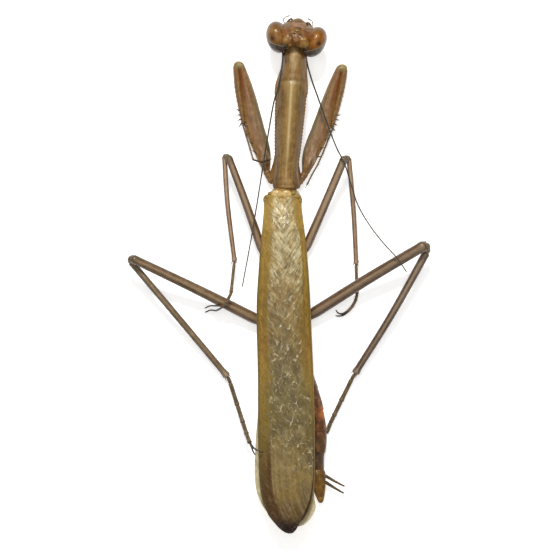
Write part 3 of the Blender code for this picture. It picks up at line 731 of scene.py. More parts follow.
def boxSection(y, turn, middle, half, top, edge, belly, flatness=0.9):
    rise, reach = math.sin(turn), math.cos(turn)
    if rise >= 0:
        z = edge + (top - edge) * rise ** flatness
    else:
        z = edge + (edge - belly) * rise
        reach *= 1 - 0.12 * rise * rise
    return Vector((middle + half * reach, y, z)), Vector((middle, y, edge))


trunkTones = ((86, 58, 24), (134, 102, 52), (168, 136, 82))
neckPath = {"route": [(-2.8, -38.5, 3.9), (-2.75, -37.2, 4.1), (-2.65, -35.8, 4.3)], "half": (1.95, 1.2)}
pronotum = {
    "span": (-37.5, -13.6),
    "middle": ((-37, -2.68), (-34.2, -2.52), (-31.5, -2.15), (-27, -1.85), (-20.2, -1.45), (-16, -1.2),
               (-13.6, -1.3)),
    "half": ((-37.5, 1.45), (-36.85, 1.64), (-36.35, 1.8), (-34.2, 2.02), (-32.6, 2.3), (-31.2, 2.6),
             (-29.6, 2.66), (-28.6, 2.45), (-26.9, 2.42), (-23.6, 2.24), (-20.3, 2.06), (-18.2, 1.9),
             (-16.6, 1.96), (-15.2, 2.14), (-14.3, 2.2), (-13.65, 1.95)),
    "top": ((-37.5, 5.3), (-36.85, 5.45), (-35.5, 5.7), (-32.2, 6.05), (-31.6, 6.0), (-31, 6.12),
            (-28.6, 6.15), (-20, 5.85), (-15, 5.75), (-13.65, 5.45)),
    "edge": 4.2, "belly": 2.9, "roundness": 1.5,
    "groove": -31.6,
    "teeth": (-28.5, -17.5, 0.58, 0.11),        # first, last, pitch, size
    # paler and darker patches: along, across, reach, strength, colour
    "patches": ((-29.6, 0.0, 1.9, 0.6, (160, 142, 88)), (-28.2, -1.3, 2.6, 0.6, (98, 88, 42)),
                (-28.4, 1.3, 2.4, 0.5, (106, 88, 46)), (-33.2, -1.3, 0.9, 0.7, (140, 88, 38)),
                (-33.5, 1.5, 1.5, 0.55, (150, 110, 60)), (-35.2, 0.1, 2.6, 0.7, (186, 158, 110)),
                (-15.2, 0.0, 2.2, 0.75, (186, 146, 98)), (-31.3, 0.0, 1.0, 0.7, (206, 184, 132)),
                (-31.2, -1.3, 0.8, 0.35, (180, 152, 100)), (-31.2, 1.3, 0.8, 0.35, (180, 152, 100)),
                (-24.0, 1.1, 3.0, 0.4, (146, 120, 70)), (-35.6, 1.7, 2.2, 0.8, (84, 58, 36)),
                (-35.6, -1.8, 2.2, 0.8, (84, 58, 36))),
}


def pronotumSection(y, turn):
    middle, half, top = (curveAt(pronotum[key], y) for key in ("middle", "half", "top"))
    edge, belly, roundness = (pronotum[key] for key in ("edge", "belly", "roundness"))
    spot, heart = boxSection(y, turn, middle, half, top, edge, belly, roundness)
    rise, across = math.sin(turn), spot.x - middle
    first, last, pitch, size = pronotum["teeth"]
    row = smoothStep(first - 1.5, first, y) * smoothStep(last + 1.5, last, y)
    tooth = row * size * max(0.0, math.cos(y * math.tau / pitch + (1.0 if across > 0 else 0.0))) ** 2
    flange = hump(rise - 0.02, 0.12)
    spot.x += math.copysign(flange * (0.1 + tooth), across)
    spot.z += 0.06 * flange
    if rise > 0:
        over = smoothStep(0.3, 0.75, rise)
        keel = hump(across, 0.3) * smoothStep(-31.3, -30.3, y) * smoothStep(-13.9, -15.2, y)
        furrow = hump(across, 0.12) * smoothStep(-32.0, -32.6, y) * smoothStep(-37.0, -36.0, y)
        bow = pronotum["groove"] - 0.7 * (across / half) ** 2
        groove = hump(y - bow, 0.3) * smoothStep(0.08, 0.35, rise)
        beside = hump(abs(across) - 0.75 * half, 0.22) * smoothStep(-13.9, -15, y)
        folds = hump(y + 14.35, 0.14) + hump(y + 15.3, 0.2) + 0.5 * hump(y + 36.1, 0.14)
        wrinkle = noise.noise(Vector((across * 1.3, y * 0.7, 3)))
        fine = noise.noise(Vector((across * 3.5, y * 2.6, 7)))
        spot.z += over * (0.15 * keel - 0.09 * furrow + 0.05 * wrinkle + 0.025 * fine - 0.05 * beside)
        spot.z -= 0.05 * groove + 0.05 * folds * over
    return spot, heart


def pronotumMarks(colour, place):
    # painted highlight along the keel, painted shade down the flanks beside it, a pale front, olive hollows
    # beside the keel, a darker groove and pale rear
    across, along = axisOf(place, 0), axisOf(place, 2)
    wide = maths("ABSOLUTE", across)
    cloud = noiseAt(stretched(place, (0.9, 0.9, 0.35)), 1.1, 4, 0.6)
    for y, side, reach, strength, mark in pronotum["patches"]:
        patch = spotAt(place, (side, 5.6, y), (1.1, 3.0, reach), 0.1)
        patch = product(patch, remap(cloud, 0.35, 0.6, 0.35, 1.0))
        colour = tint(colour, mark, patch, strength)
    keelSheenSpan = product(remap(along, -31.4, -30.4), remap(along, -16.5, -22.5, 0.12, 1.0))
    # painted highlight: a broad pale glow and a bright line along the keel
    colour = tint(colour, (176, 144, 86), remap(wide, 1.0, 0.1), keelSheenSpan, 0.6)
    colour = tint(colour, (206, 182, 130), remap(wide, 0.38, 0.05), keelSheenSpan, 0.6)
    # painted shade: the sloping flanks darker beside the keel
    colour = tint(colour, (92, 62, 28), remap(wide, 0.9, 1.7), remap(wide, 2.5, 2.1), 0.55)
    colour = tint(colour, (142, 98, 50), remap(wide, 2.1, 2.5), 0.5)
    groove = distanceTo(along, -31.68)
    return tint(colour, (76, 52, 24), remap(groove, 0.3, 0.05, 0.0, 0.15))


pronotumFinish = shellFinish("pronotumShell", trunkTones, 1.2, 0.7, 0.36, 0.02, 0.45, pronotumMarks)
thoraxFinish = shellFinish("thoraxShell", ((96, 68, 30), (146, 110, 52), (180, 146, 84)), 1.2, 0.3, 0.4,
                           0.02, 0.3)
scutellumFinish = shellFinish("scutellumShell", ((168, 132, 66), (206, 174, 106), (230, 204, 144)), 1.6,
                              0.2, 0.34, 0.016, 0.5)
wingRootFinish = shellFinish("wingRootShell", ((104, 80, 32), (152, 124, 58), (192, 166, 98)), 2.6, 0.2,
                             0.42, 0.03, 0.15)
thorax = {
    "middle": ((-14.6, -1.2), (-13.4, -0.9), (-8, -0.65), (4.5, -0.85)),
    "half": ((-14.6, 1.5), (-13.7, 2.0), (-12.9, 2.6), (-12.3, 2.6), (-8, 2.3), (-2, 2.45), (4.4, 2.3)),
    "top": ((-14.6, 4.9), (-13.5, 5.4), (-12.9, 5.95), (-12.2, 6.05), (-11.7, 5.5), (4.4, 5.0)),
    "edge": 3.6, "belly": 2.15,
    "parts": {"mesothorax": (-14.6, -4.45), "metathorax": (-4.6, 4.5)},
    # lobes of the scutellum and bumps at the wing roots: centre, half size
    "lobes": (((0.28, -12.75, 5.92), (0.98, 0.78, 0.34)), ((-1.25, -12.75, 5.92), (0.88, 0.76, 0.34)),
              ((-0.5, -11.6, 5.82), (0.95, 1.15, 0.26))),
    "bumps": (((1.35, -12.95, 5.72), (0.55, 0.36, 0.24)), ((1.75, -12.4, 5.66), (0.72, 0.42, 0.3)),
              ((2.2, -11.9, 5.52), (0.42, 0.72, 0.3)), ((1.2, -12.1, 5.82), (0.42, 0.34, 0.22)),
              ((2.2, -11.0, 5.4), (0.3, 0.95, 0.26)), ((-2.35, -13.0, 5.66), (0.52, 0.34, 0.22)),
              ((-2.9, -12.45, 5.6), (0.78, 0.44, 0.3)), ((-3.4, -11.8, 5.4), (0.44, 0.72, 0.3)),
              ((-2.4, -12.1, 5.76), (0.44, 0.34, 0.22)), ((-3.45, -11.0, 5.3), (0.3, 0.95, 0.26))),
}


def thoraxSection(y, turn, start, end):
    middle, half, top = (curveAt(thorax[key], y) for key in ("middle", "half", "top"))
    spot, heart = boxSection(y, turn, middle, half, top, thorax["edge"], thorax["belly"])
    rise, share = math.sin(turn), (y - start) / (end - start)
    side = hump(rise + 0.1, 0.55)                 # plates and slanting grooves on the flanks
    slant = share * 3 + rise * 0.9
    groove = sum(hump(slant - step, 0.09) for step in (0.55, 1.3, 1.9, 2.5))
    line = hump(rise + 0.62, 0.06) + hump(rise - 0.32, 0.06)
    spot.x -= math.copysign(0.13 * side * groove + 0.1 * line - 0.08 * side, math.cos(turn))
    if rise < 0:
        spot.z += 0.14 * hump(math.cos(turn), 0.1) + 0.06 * hump(share - 0.5, 0.05)
    return spot, heart


def buildTrunk():
    lane = layLane(neckPath["route"])
    wide, high = neckPath["half"]
    neck = tube(lane, 0, lane[-1][0], lambda s: (wide, high), 48, 40,
                relief=lambda s, turn: 0.05 * math.cos(s * 40) + 0.03 * math.sin(turn * 5 + s * 9), ease=0)
    setPiece("neckMembrane", neck, neckFinish, ["neck"])
    start, end = pronotum["span"]
    shield = alongBody(start, end, pronotumSection, 112, 300, 0.3)
    setPiece("pronotumShield", shield, pronotumFinish, ["pronotum"])
    for name, (first, last) in thorax["parts"].items():
        box = alongBody(first, last, lambda y, turn: thoraxSection(y, turn, first, last), 80, 110, 0.5)
        setPiece(f"{name}Box", box, thoraxFinish, [name])
    lobes = [ball(at, half, (28, 18)) for at, half in thorax["lobes"]]
    setPiece("scutellum", gather(lobes), scutellumFinish)
    bumps = [ball(at, half, (24, 16)) for at, half in thorax["bumps"]]
    setPiece("wingRoots", gather(bumps), wingRootFinish)


neckFinish = shellFinish("neckSkin", ((116, 88, 48), (160, 130, 82), (188, 160, 112)), 1.6, 0.1, 0.5, 0.02,
                         0.15)

abdomenTones = ((58, 30, 14), (112, 68, 32), (150, 106, 58))
abdomen = {
    "start": 4.65, "pitch": 3.606, "count": 8, "overlap": 0.38,
    "middle": ((4.6, -0.85), (10, -1.5), (15, -2.5), (20, -3.9), (25, -4.75), (33.5, -5.95)),
    "half": ((4.6, 2.3), (8, 2.6), (14, 2.72), (18, 2.72), (22, 2.98), (26, 3.0), (28, 2.8), (31, 1.95),
             (33.5, 1.55)),
    "belly": ((4.6, 2.0), (8, 0.6), (11, -0.12), (33.5, -0.12)),
    "top": ((4.6, 4.7), (10, 4.5), (16, 4.1), (22, 3.55), (28, 2.75), (33.5, 2.0)),
    # orange and dark patches: across, along, reach across and along, colour
    "patches": ((-2.6, 23.4, 1.1, 1.9, (206, 112, 36)), (-2.5, 19.5, 1.0, 1.6, (104, 44, 18)),
                (-2.8, 24.9, 1.0, 0.7, (40, 22, 14)), (-2.3, 32.0, 0.8, 1.4, (190, 116, 36)),
                (-1.6, 28.4, 1.4, 1.5, (78, 64, 36)), (-1.2, 31.2, 1.6, 2.4, (66, 58, 40))),
}
tail = {
    "plate": {"route": [(-6.2, 32.4, 1.25), (-6.3, 33.4, 1.2), (-6.35, 34.05, 1.15), (-6.6, 35.5, 1.0),
                        (-6.85, 37.2, 0.95), (-7.0, 38.5, 0.95)],
              "half": ((0.0, 1.55, 1.1), (0.25, 1.45, 1.0), (0.55, 1.15, 0.7), (0.8, 0.75, 0.45),
                       (1.0, 0.35, 0.3))},
    "cerci": {"right": [(-7.3, 33.7, 2.0), (-7.85, 33.95, 2.1), (-9.3, 34.8, 2.1), (-10.95, 35.65, 2.0)],
              "left": [(-7.6, 34.9, 1.15), (-8.15, 35.25, 1.1), (-9.5, 36.1, 1.1), (-10.85, 36.85, 1.1)]},
    "cercusRadius": (0.32, 0.13), "cercusRings": 9, "hairs": 40,
}


def abdomenMarks(colour, place):
    # dark red-brown blotches, paler grey lower flanks and an orange tinge near the tail
    cloud = noiseAt(stretched(place, (1.0, 1.0, 0.5)), 0.75, 4, 0.6)
    colour = tint(colour, (44, 26, 16), remap(cloud, 0.5, 0.62), 0.8)
    colour = tint(colour, (168, 152, 124), remap(axisOf(place, 1), 1.6, 0.4), 0.6)
    for x, y, wide, far, mark in abdomen["patches"]:
        colour = tint(colour, mark, spotAt(place, (x, 1.6, y), (wide, 2.2, far), 0.2), 0.8)
    return colour


abdomenFinish = shellFinish("abdomenShell", abdomenTones, 1.3, 0.2, 0.4, 0.024, 0.3, abdomenMarks)
plateFinish = shellFinish("tailPlateShell", ((70, 42, 12), (116, 80, 26), (158, 120, 50)), 1.2, 0.4, 0.36,
                          0.02, 0.4)
cercusFinish = shellFinish("cercusShell", ((60, 44, 28), (98, 76, 52), (128, 104, 76)), 2.2, 0.2, 0.45,
                           0.016, 0.2)


def abdomenSection(y, turn, start, end):
    middle, half, belly, top = (curveAt(abdomen[key], y) for key in ("middle", "half", "belly", "top"))
    belly = max(belly, 0.0)
    edge = blend(belly, top, 0.48)
    spot, heart = boxSection(y, turn, middle, half, top, edge, belly)
    share, rise = (y - start) / (end - start), math.sin(turn)
    lift = 0.1 * smoothStep(0.1, 1.0, share) - 0.05
    spot += (spot - heart).normalized() * lift
    fold = 0.14 * hump(rise + 0.3, 0.1) + 0.05 * hump(rise + 0.05, 0.06)       # soft pleat on the flank
    spot.x -= math.copysign(fold, math.cos(turn))
    spot.z += 0.03 * noise.noise(Vector((spot.x * 1.6, y * 1.6, 2))) * (1 if rise > 0 else 0.3)
    return spot, heart


def buildAbdomen():
    for k in range(abdomen["count"]):
        first = abdomen["start"] + k * abdomen["pitch"]
        last = first + abdomen["pitch"] + (abdomen["overlap"] if k < abdomen["count"] - 1 else 0.0)
        first -= 0.25
        ring = alongBody(first, last, lambda y, turn: abdomenSection(y, turn, first, last), 72, 44, 0.2,
                         0.5)
        setPiece(f"abdomenRing{k + 1}", ring, abdomenFinish, [f"abdomen_segment_{k + 1}"])
    plate = tail["plate"]
    lane = layLane(plate["route"])
    wide, high = curvesOf(plate["half"])

    def plateRelief(s, turn):
        reach = math.cos(turn)
        return 0.05 * hump(reach, 0.15) - 0.07 * hump(abs(reach) - 0.7, 0.1)
    bm = tube(lane, 0, lane[-1][0], lambda s: (curveAt(wide, s), curveAt(high, s)), 48, 90, plateRelief)
    setPiece("tailPlate", bm, plateFinish, ["subgenital_plate"])
    for word, points in tail["cerci"].items():
        lane = layLane(points)
        length = lane[-1][0]
        thick, thin = tail["cercusRadius"]
        beads = tail["cercusRings"]

        def beaded(s):
            return blend(thick, thin, s) * (0.92 + 0.1 * abs(math.sin(s * beads * math.pi)))
        bm = tube(lane, 0, length, beaded, 16, 130, ease=0)
        setPiece(f"{word}Cercus", bm, cercusFinish, [f"cercus_{word}"])
        hairs = limbHairs(lane, 0.16, tail["hairs"], (0.25, 0.98), (0.15, 0.3))
        setPiece(f"{word}CercusHairs", bristles(hairs, 0.014), cercusFinish)


buildTrunk()
buildAbdomen()
print("neck, pronotum, thorax, abdomen and tail built")

fold = {
    "deck": ((-12.8, 5.9), (0, 5.75), (5, 5.45), (12, 5.1), (20, 4.7), (28, 4.15), (36, 3.4), (43, 2.6)),
    "droop": ((-12.8, 0.9), (5, 1.2), (20, 1.7), (30, 1.9), (43, 1.1)),
    "middle": ((-12.8, -0.6), (4, -0.75), (15, -1.1), (24, -1.8), (43, -1.8)),
    "half": ((-12.8, 2.95), (0, 4.1), (12, 4.65), (24, 5.5), (36, 5.6), (43, 5.6)),
    "thick": 0.08,
    "tipRound": 0.9, "rootRound": 1.5,
    "rise": (-13.5, -5.0),            # from lying on the thorax to the full height of the stack
    "band": 1.7,                      # width of the plain strip along the front edge of a forewing
    "veinPitch": 0.62,
    # dull patches of a forewing: across, along, reach across and along
    "patches": ((-0.3, 12.2, 1.6, 1.5), (-0.7, 15.0, 1.4, 2.2), (0.1, 19.0, 1.5, 2.0),
                (-5.3, 31.0, 1.4, 2.6), (-4.6, 36.0, 1.7, 3.2)),
    # colours of a forewing's field and of its front strip, by their share of the length
    "field": ((0.03, (188, 162, 98)), (0.2, (178, 150, 88)), (0.32, (164, 134, 78)), (0.45, (142, 118, 62)),
              (0.6, (130, 114, 64)), (0.75, (136, 114, 58)), (0.87, (154, 126, 60)), (0.95, (88, 60, 14))),
    "strip": ((0.0, (172, 138, 62)), (0.2, (158, 126, 48)), (0.35, (138, 108, 30)), (0.46, (150, 112, 34)),
              (0.55, (156, 126, 48)), (0.72, (130, 108, 40)), (0.85, (88, 62, 16)), (0.95, (76, 48, 12))),
}
wings = {
    "leftHindwing": {
        "node": "hindwing_left", "slot": "hindwing_sheet", "lift": 0.75, "grid": (30, 200),
        "outer": ((-9, 2.2), (0, 2.9), (10, 3.3), (20, 3.3), (30.5, 4.0), (36, 3.8), (39, 2.6), (41, 1.0)),
        "inner": ((-9, -0.5), (20, -1.3), (41, -1.2))},
    "rightHindwing": {
        "node": "hindwing_right", "slot": "hindwing_sheet", "lift": 0.9, "grid": (36, 220),
        "outer": ((-9, -3.5), (0, -4.3), (10, -4.9), (20, -5.5), (25, -5.6), (34, -5.5), (37.5, -5.9),
                  (39.5, -6.0), (42.2, -4.2)),
        "inner": ((-9, -0.8), (20, -1.6), (42.2, -1.6))},
    "rightForewing": {
        "node": "forewing_right", "slot": "forewing_sheet", "lift": 1.55, "grid": (64, 420),
        "outer": ((-12.7, -3.5), (-1.3, -4.8), (12, -5.5), (18, -5.75), (25.2, -5.9), (34, -5.9),
                  (37.5, -5.6), (40, -4.8), (41.6, -3.6)),
        "inner": ((-12.7, -1.7), (-11.5, -0.8), (-9, 1.1), (-5, 1.9), (5, 2.3), (28, 2.1), (36, 1.0),
                  (41.6, -2.3))},
    "leftForewing": {
        "node": "forewing_left", "slot": "forewing_sheet", "lift": 2.1, "grid": (76, 520),
        "outer": ((-12.7, 2.3), (-8, 2.7), (-1.3, 3.3), (6, 3.7), (17, 3.5), (28, 3.45), (36, 3.1),
                  (40, 1.9), (41.8, 0.55), (43.3, -0.9)),
        "inner": ((-12.7, 0.5), (-11.5, -0.4), (-9, -2.3), (-5, -3.6), (5, -4), (28, -5.6), (37, -5.2),
                  (43.3, -2.6))},
}


def wingSheet(wing):
    # a thin domed sheet: its "straight" holds the distance from the front edge, the share across, and y
    bm = bmesh.new()
    across, along = wing["grid"]
    bmesh.ops.create_grid(bm, x_segments=across, y_segments=along, size=0.5)
    straight = bm.verts.layers.float_vector.new("straight")
    start, end = wing["outer"][0][0], wing["outer"][-1][0]
    side = 1 if wing["outer"][0][1] > wing["inner"][0][1] else -1
    for vert in bm.verts:
        u, v = vert.co.x + 0.5, vert.co.y + 0.5
        y = blend(start, end, v)
        outer, inner = curveAt(wing["outer"], y), curveAt(wing["inner"], y)
        tip, root = (1 - math.sqrt(max(0.0, 1 - (1 - min(1.0, t)) ** 2))
                     for t in ((end - y) / fold["tipRound"], (y - start) / fold["rootRound"]))
        trim = 0.35 * abs(outer - inner) * tip
        outer, inner = outer - side * (trim + 0.9 * root), inner + side * trim
        x = blend(outer, inner, u)
        inset = abs(x - outer)
        reach = (x - curveAt(fold["middle"], y)) / curveAt(fold["half"], y)
        lift = wing["lift"] * smoothStep(*fold["rise"], y) + 0.15 * wing["lift"]
        droop = curveAt(fold["droop"], y) * abs(reach) ** 2.5
        z = curveAt(fold["deck"], y) + min(lift, wing["lift"]) - droop
        spot = Vector((x, y, 0))
        crease = noise.noise(Vector((x * 0.9 + y * 0.5, y * 0.35 - x * 0.3, wing["lift"])))
        small = noise.noise(Vector((x * 2.2 + y * 1.4, y * 1.1 - x * 1.0, 4)))
        main = hump(inset - fold["band"], 0.13) + 0.5 * hump(inset - 0.12, 0.1)
        vein = max(0.0, math.cos(inset * math.tau / fold["veinPitch"])) ** 6
        vein *= smoothStep(fold["band"] * 0.8, fold["band"] + 0.3, inset)
        edge = smoothStep(0.0, 0.5, min(inset, abs(x - inner)))
        spot.z = z + edge * (0.1 * crease + 0.05 * small) + 0.08 * main + 0.035 * vein
        vert.co = spot
        vert[straight] = (inset, u, y)
    bmesh.ops.solidify(bm, geom=bm.faces[:], thickness=fold["thick"])
    return bm


def wingFinish(name, tip, rimTone):
    # brown papery wing: ochre front strip, veins and cells, painted highlights and shade on its crumples, a
    # dark stripe and a dark tip
    finish, shader = newFinish(name, 0.38, 0.22, 0.16)
    body, lay = bodyPlace(shader), straightPlace(shader)
    inset, share, along = (axisOf(lay, k) for k in range(3))
    inset = maths("ADD", inset, remap(along, -3.0, -11.0, 0.0, 0.55))
    flat = stretched(body, (1, 1, 0.01))
    cloud = noiseAt(stretched(flat, (1, 0.55, 1)), 0.6, 4, 0.62)
    fine = noiseAt(flat, 4.2, 3, 0.6)
    down = product(maths("ADD", along, 13.0), 1 / 56)
    colour = tint(rampOf(down, fold["field"]), (100, 86, 58), remap(cloud, 0.62, 0.36, 0.0, 0.6))
    for x, y, wide, far in fold["patches"]:
        colour = tint(colour, (82, 72, 56), spotAt(flat, (x, y, 0), (wide, far, 9), 0.1), 0.5)
    # cells and lengthwise veins
    wobble = noiseAt(stretched(flat, (0.4, 0.16, 1)), 1.0, 2)
    lane = maths("ADD", inset, product(wobble, 0.5))
    vein = remap(maths("PINGPONG", lane, 0.29), 0.09, 0.0)
    cells = cellsAt(stretched(flat, (2.1, 1.35, 1), turn=(0, 0, 12)), 1.5, "DISTANCE_TO_EDGE")
    net = remap(cells, 0.1, 0.0)
    lines = maths("MAXIMUM", product(vein, 0.8), product(net, 0.6))
    colour = tint(colour, (96, 74, 36), lines, 0.2)
    # painted highlights and painted shade of the crumpled membrane: slanting near the roots, lengthwise by
    # the tip, sparse between
    slanted = stretched(stretched(flat, (1, 1, 1), turn=(0, 0, -38)), (2.5, 0.5, 1))
    slant = noiseAt(slanted, 1.15, 3, 0.6, 0.6)
    crossed = stretched(stretched(flat, (1, 1, 1), turn=(0, 0, 30)), (2.3, 0.55, 1))
    cross = noiseAt(crossed, 1.15, 3, 0.6, 0.6)
    long = noiseAt(stretched(lay, (1.5, 0, 0.13)), 1.3, 3, 0.55)
    half = remap(axisOf(flat, 0), -1.9, 0.7)
    most = product(slant, maths("MULTIPLY_ADD", half, 0.55, 0.2))
    rest = product(cross, maths("MULTIPLY_ADD", half, -0.55, 0.7))
    crumple = weighted((most, 1.0), (rest, 1.0), (fine, 0.1))
    dense = remap(along, 8.0, -6.0, 0.0, 0.07)
    reach = maths("MULTIPLY_ADD", axisOf(flat, 0), 0.8, along)
    tail = remap(reach, 25.0, 30.0)
    crumpleHighlight = remap(maths("ADD", crumple, dense), 0.49, 0.66)
    crumpleHighlight = product(crumpleHighlight, remap(along, 4.0, 28.0, 1.0, 0.3))
    pale = tint((170, 154, 108), (232, 218, 174), remap(along, 10.0, 0.0))
    inside = remap(inset, fold["band"] - 0.1, fold["band"] + 0.6)
    # painted highlight on the crumples, brightest near the roots
    colour = tint(colour, pale, crumpleHighlight, inside, 0.7)
    # painted shade in the hollows of the crumples
    colour = tint(colour, (98, 78, 44), remap(crumple, 0.46, 0.36, 0.0, 0.3), inside)
    # pale lengthwise streaks by the tip, a painted sheen
    streak = product(remap(long, 0.4, 0.62), tail)
    colour = tint(colour, (170, 146, 100), streak, 0.4)
    # tiny painted glints
    paintedGlint = weighted((crumple, 0.8), (fine, 0.2), (remap(along, 6.0, 20.0), 0.012))
    colour = tint(colour, (246, 240, 214), remap(paintedGlint, 0.61, 0.65), inside, remap(reach, 31.0, 27.0))
    # painted glints on creases in places, with painted light and shade in blotches around them, mostly over
    # the hind body
    warp = stretched(slanted, (0.36, 1.28, 1))
    crease = remap(cellsAt(warp, 0.95, "DISTANCE_TO_EDGE"), 0.085, 0.0)
    crease = product(crease, remap(cross, 0.44, 0.6))
    place = remap(noiseAt(flat, 0.55, 2, 0.5), 0.47, 0.58)
    zone = product(remap(along, -12.0, 12.0, 0.35, 0.8), remap(reach, 32.0, 26.0), inside)
    upright = stretched(flat, (1, 1, 1), turn=(0, 0, -14))
    crumpleShading = noiseAt(stretched(upright, (1.25, 0.5, 1)), 0.95, 4, 0.62, 0.7)
    # painted highlight and painted shade in soft blotches
    colour = tint(colour, (176, 160, 116), remap(crumpleShading, 0.52, 0.66, 0.0, 0.6), zone)
    colour = tint(colour, (84, 72, 46), remap(crumpleShading, 0.48, 0.36, 0.0, 0.55), zone)
    # painted glints along the creases
    colour = tint(colour, (224, 212, 176), crease, place, zone)
    # painted shade in the cells between the creases
    shade = cellsAt(warp, 0.95)
    colour = tint(colour, (92, 82, 58), remap(shade, 0.5, 0.25, 0.0, 0.4), zone)
    # front strip, soft along its inner side, with a darker border and a painted highlight down its middle
    strip = rampOf(down, fold["strip"])
    grain = noiseAt(stretched(flat, (1.8, 0.45, 1)), 1.8, 4, 0.6)
    strip = tint(strip, (98, 70, 28), remap(grain, 0.35, 0.65, 0.3, 0.0))
    ragged = maths("ADD", inset, product(maths("SUBTRACT", slant, 0.5), 3.0))
    strip = tint(strip, (96, 86, 44), remap(inset, 0.45, 0.1, 0.0, 0.55))
    # painted highlight down the middle of the strip, fading towards the tip
    stripSheen = product(remap(inset, 0.3, 0.7), remap(inset, 1.3, 0.8), remap(along, 24.0, 14.0, 0.0, 0.7))
    strip = tint(strip, (178, 140, 60), stripSheen, remap(grain, 0.35, 0.7))
    colour = tint(colour, strip, remap(ragged, fold["band"] + 0.6, fold["band"] - 0.6))
    hind = product(remap(share, 0.8, 0.95), remap(along, 2.0, 7.0), remap(along, 22.0, 17.0))
    colour = tint(colour, strip, hind, 0.75)
    # dark stripe before the tip, then the tip and the rim
    wide = distanceTo(inset, 1.75)
    colour = tint(colour, (86, 54, 8), remap(wide, 0.5, 0.12), remap(along, 26.0, 33.0), tip)
    colour = tint(colour, (36, 15, 2), remap(along, 40.2, 42.2), tip)
    colour = tint(colour, rimTone, remap(inset, 0.22, 0.06), 0.6)
    feed(colour, shader.inputs["Base Color"])
    feed(remap(fine, 0.3, 0.7, 0.3, 0.5), shader.inputs["Roughness"])
    height = weighted((lines, 0.4), (slant, 2.2), (cross, 1.4), (fine, 0.25), (cloud, 1.0), (streak, 0.3))
    setBump(shader, height, 0.08)
    return finish


leftWingFinish = wingFinish("leftForewingSheet", 0.95, (96, 78, 36))
# the right forewing's rim is pale: painted light that lifts the left forewing's shadow on it
rightWingFinish = wingFinish("rightForewingSheet", 0.25, (156, 130, 82))
hindwingFinish = shellFinish("hindwingSheet", ((168, 154, 112), (206, 192, 150), (230, 218, 178)), 1.2, 0.6,
                             0.4, 0.02, 0.3, None, bodyPlace)
wingFinishes = {"leftForewing": leftWingFinish, "rightForewing": rightWingFinish,
                "leftHindwing": hindwingFinish, "rightHindwing": hindwingFinish}


def buildWings():
    for name, wing in wings.items():
        setPiece(name, wingSheet(wing), wingFinishes[name], [wing["node"]])


buildWings()
print("wings built")

legTones = {
    "femur": ((78, 52, 32), (128, 98, 68), (162, 134, 102)),
    "tibia": ((90, 58, 38), (144, 108, 78), (176, 144, 112)),
    "leftFemur": ((68, 48, 26), (116, 88, 54), (150, 122, 86)),
    "rightFemur": ((54, 36, 20), (98, 70, 42), (132, 102, 72)),
    "leftTibia": ((76, 58, 38), (126, 104, 74), (162, 140, 110)),
    "rightTibia": ((54, 38, 28), (98, 76, 60), (136, 112, 94)),
    "foot": ((68, 50, 32), (118, 94, 64), (152, 128, 96)),
    "hindFoot": ((60, 46, 28), (104, 86, 58), (138, 118, 86)),
    "fore": ((84, 54, 22), (128, 92, 46), (158, 122, 74)),
    "foreFoot": ((60, 46, 26), (120, 98, 62), (160, 138, 96)),
}


def limbLightAndKneeMarks(first, last, length, highlightShare):
    # painted highlight along the top, painted shade down the sides, olive by the knee
    def marks(colour, place):
        along = axisOf(place, 2)
        height = maths("DIVIDE", axisOf(place, 1), remap(along, 0.0, length, first, last))
        # painted highlight on the top of the limb, then painted shade down its sides
        colour = tint(colour, (186, 164, 134), remap(height, 0.86, 1.0), highlightShare)
        colour = tint(colour, (62, 38, 24), remap(height, 0.86, 0.4), 0.8)
        return tint(colour, (80, 66, 38), remap(along, length - 2.2, length - 0.4), 0.75)
    return marks


hipFinish = shellFinish("hipShell", legTones["femur"], 1.2, 0.3, 0.42, 0.02, 0.25)
limbLooks = {
    # tones, thickness at each end, length, strength of the painted highlight along the top
    "mid": {"thigh": ("femur", 0.7, 0.56, 17.3, 0.6), "shin": ("tibia", 0.4, 0.35, 40, 0.6)},
    "hindLeft": {"thigh": ("leftFemur", 0.9, 0.72, 24.3, 0.3), "shin": ("leftTibia", 0.6, 0.52, 60, 0.4)},
    "hindRight": {"thigh": ("rightFemur", 0.9, 0.8, 24.3, 0.3),
                  "shin": ("rightTibia", 0.62, 0.54, 60, 0.4)},
}
thighFinishes, shinFinishes = {}, {}
for which, look in limbLooks.items():
    tones, *shape = look["thigh"]
    thighFinishes[which] = shellFinish(f"{which}ThighShell", legTones[tones], 1.1, 0.9, 0.34, 0.016, 0.45,
                                       limbLightAndKneeMarks(*shape))
    tones, *shape = look["shin"]
    shinFinishes[which] = shellFinish(f"{which}ShinShell", legTones[tones], 1.2, 0.9, 0.36, 0.014, 0.4,
                                      limbLightAndKneeMarks(*shape))
kneeFinish = shellFinish("kneeShell", ((58, 46, 22), (98, 82, 44), (134, 114, 70)), 2.0, 0.3, 0.42, 0.016,
                         0.2)
footFinishes = {"mid": shellFinish("midFootShell", legTones["foot"], 1.8, 0.4, 0.45, 0.014, 0.2),
                "hind": shellFinish("hindFootShell", legTones["hindFoot"], 1.8, 0.4, 0.45, 0.014, 0.2)}
clawFinish = shellFinish("clawShell", ((24, 16, 10), (44, 30, 18), (66, 46, 28)), 3, 0.2, 0.3, 0.01, 0.5)
spineFinish = shellFinish("spineShell", ((46, 26, 14), (84, 50, 26), (122, 80, 44)), 3, 0.2, 0.3, 0.01, 0.4)
hairFinish, hairShader = newFinish("hair", 0.5)
hairShader.inputs["Base Color"].default_value = tone(64, 50, 34)
hipHalf = ((0.0, 0.95), (0.6, 0.9), (1.0, 0.7))
hairCounts = {"shin": 120, "thigh": 50, "toe": 14}
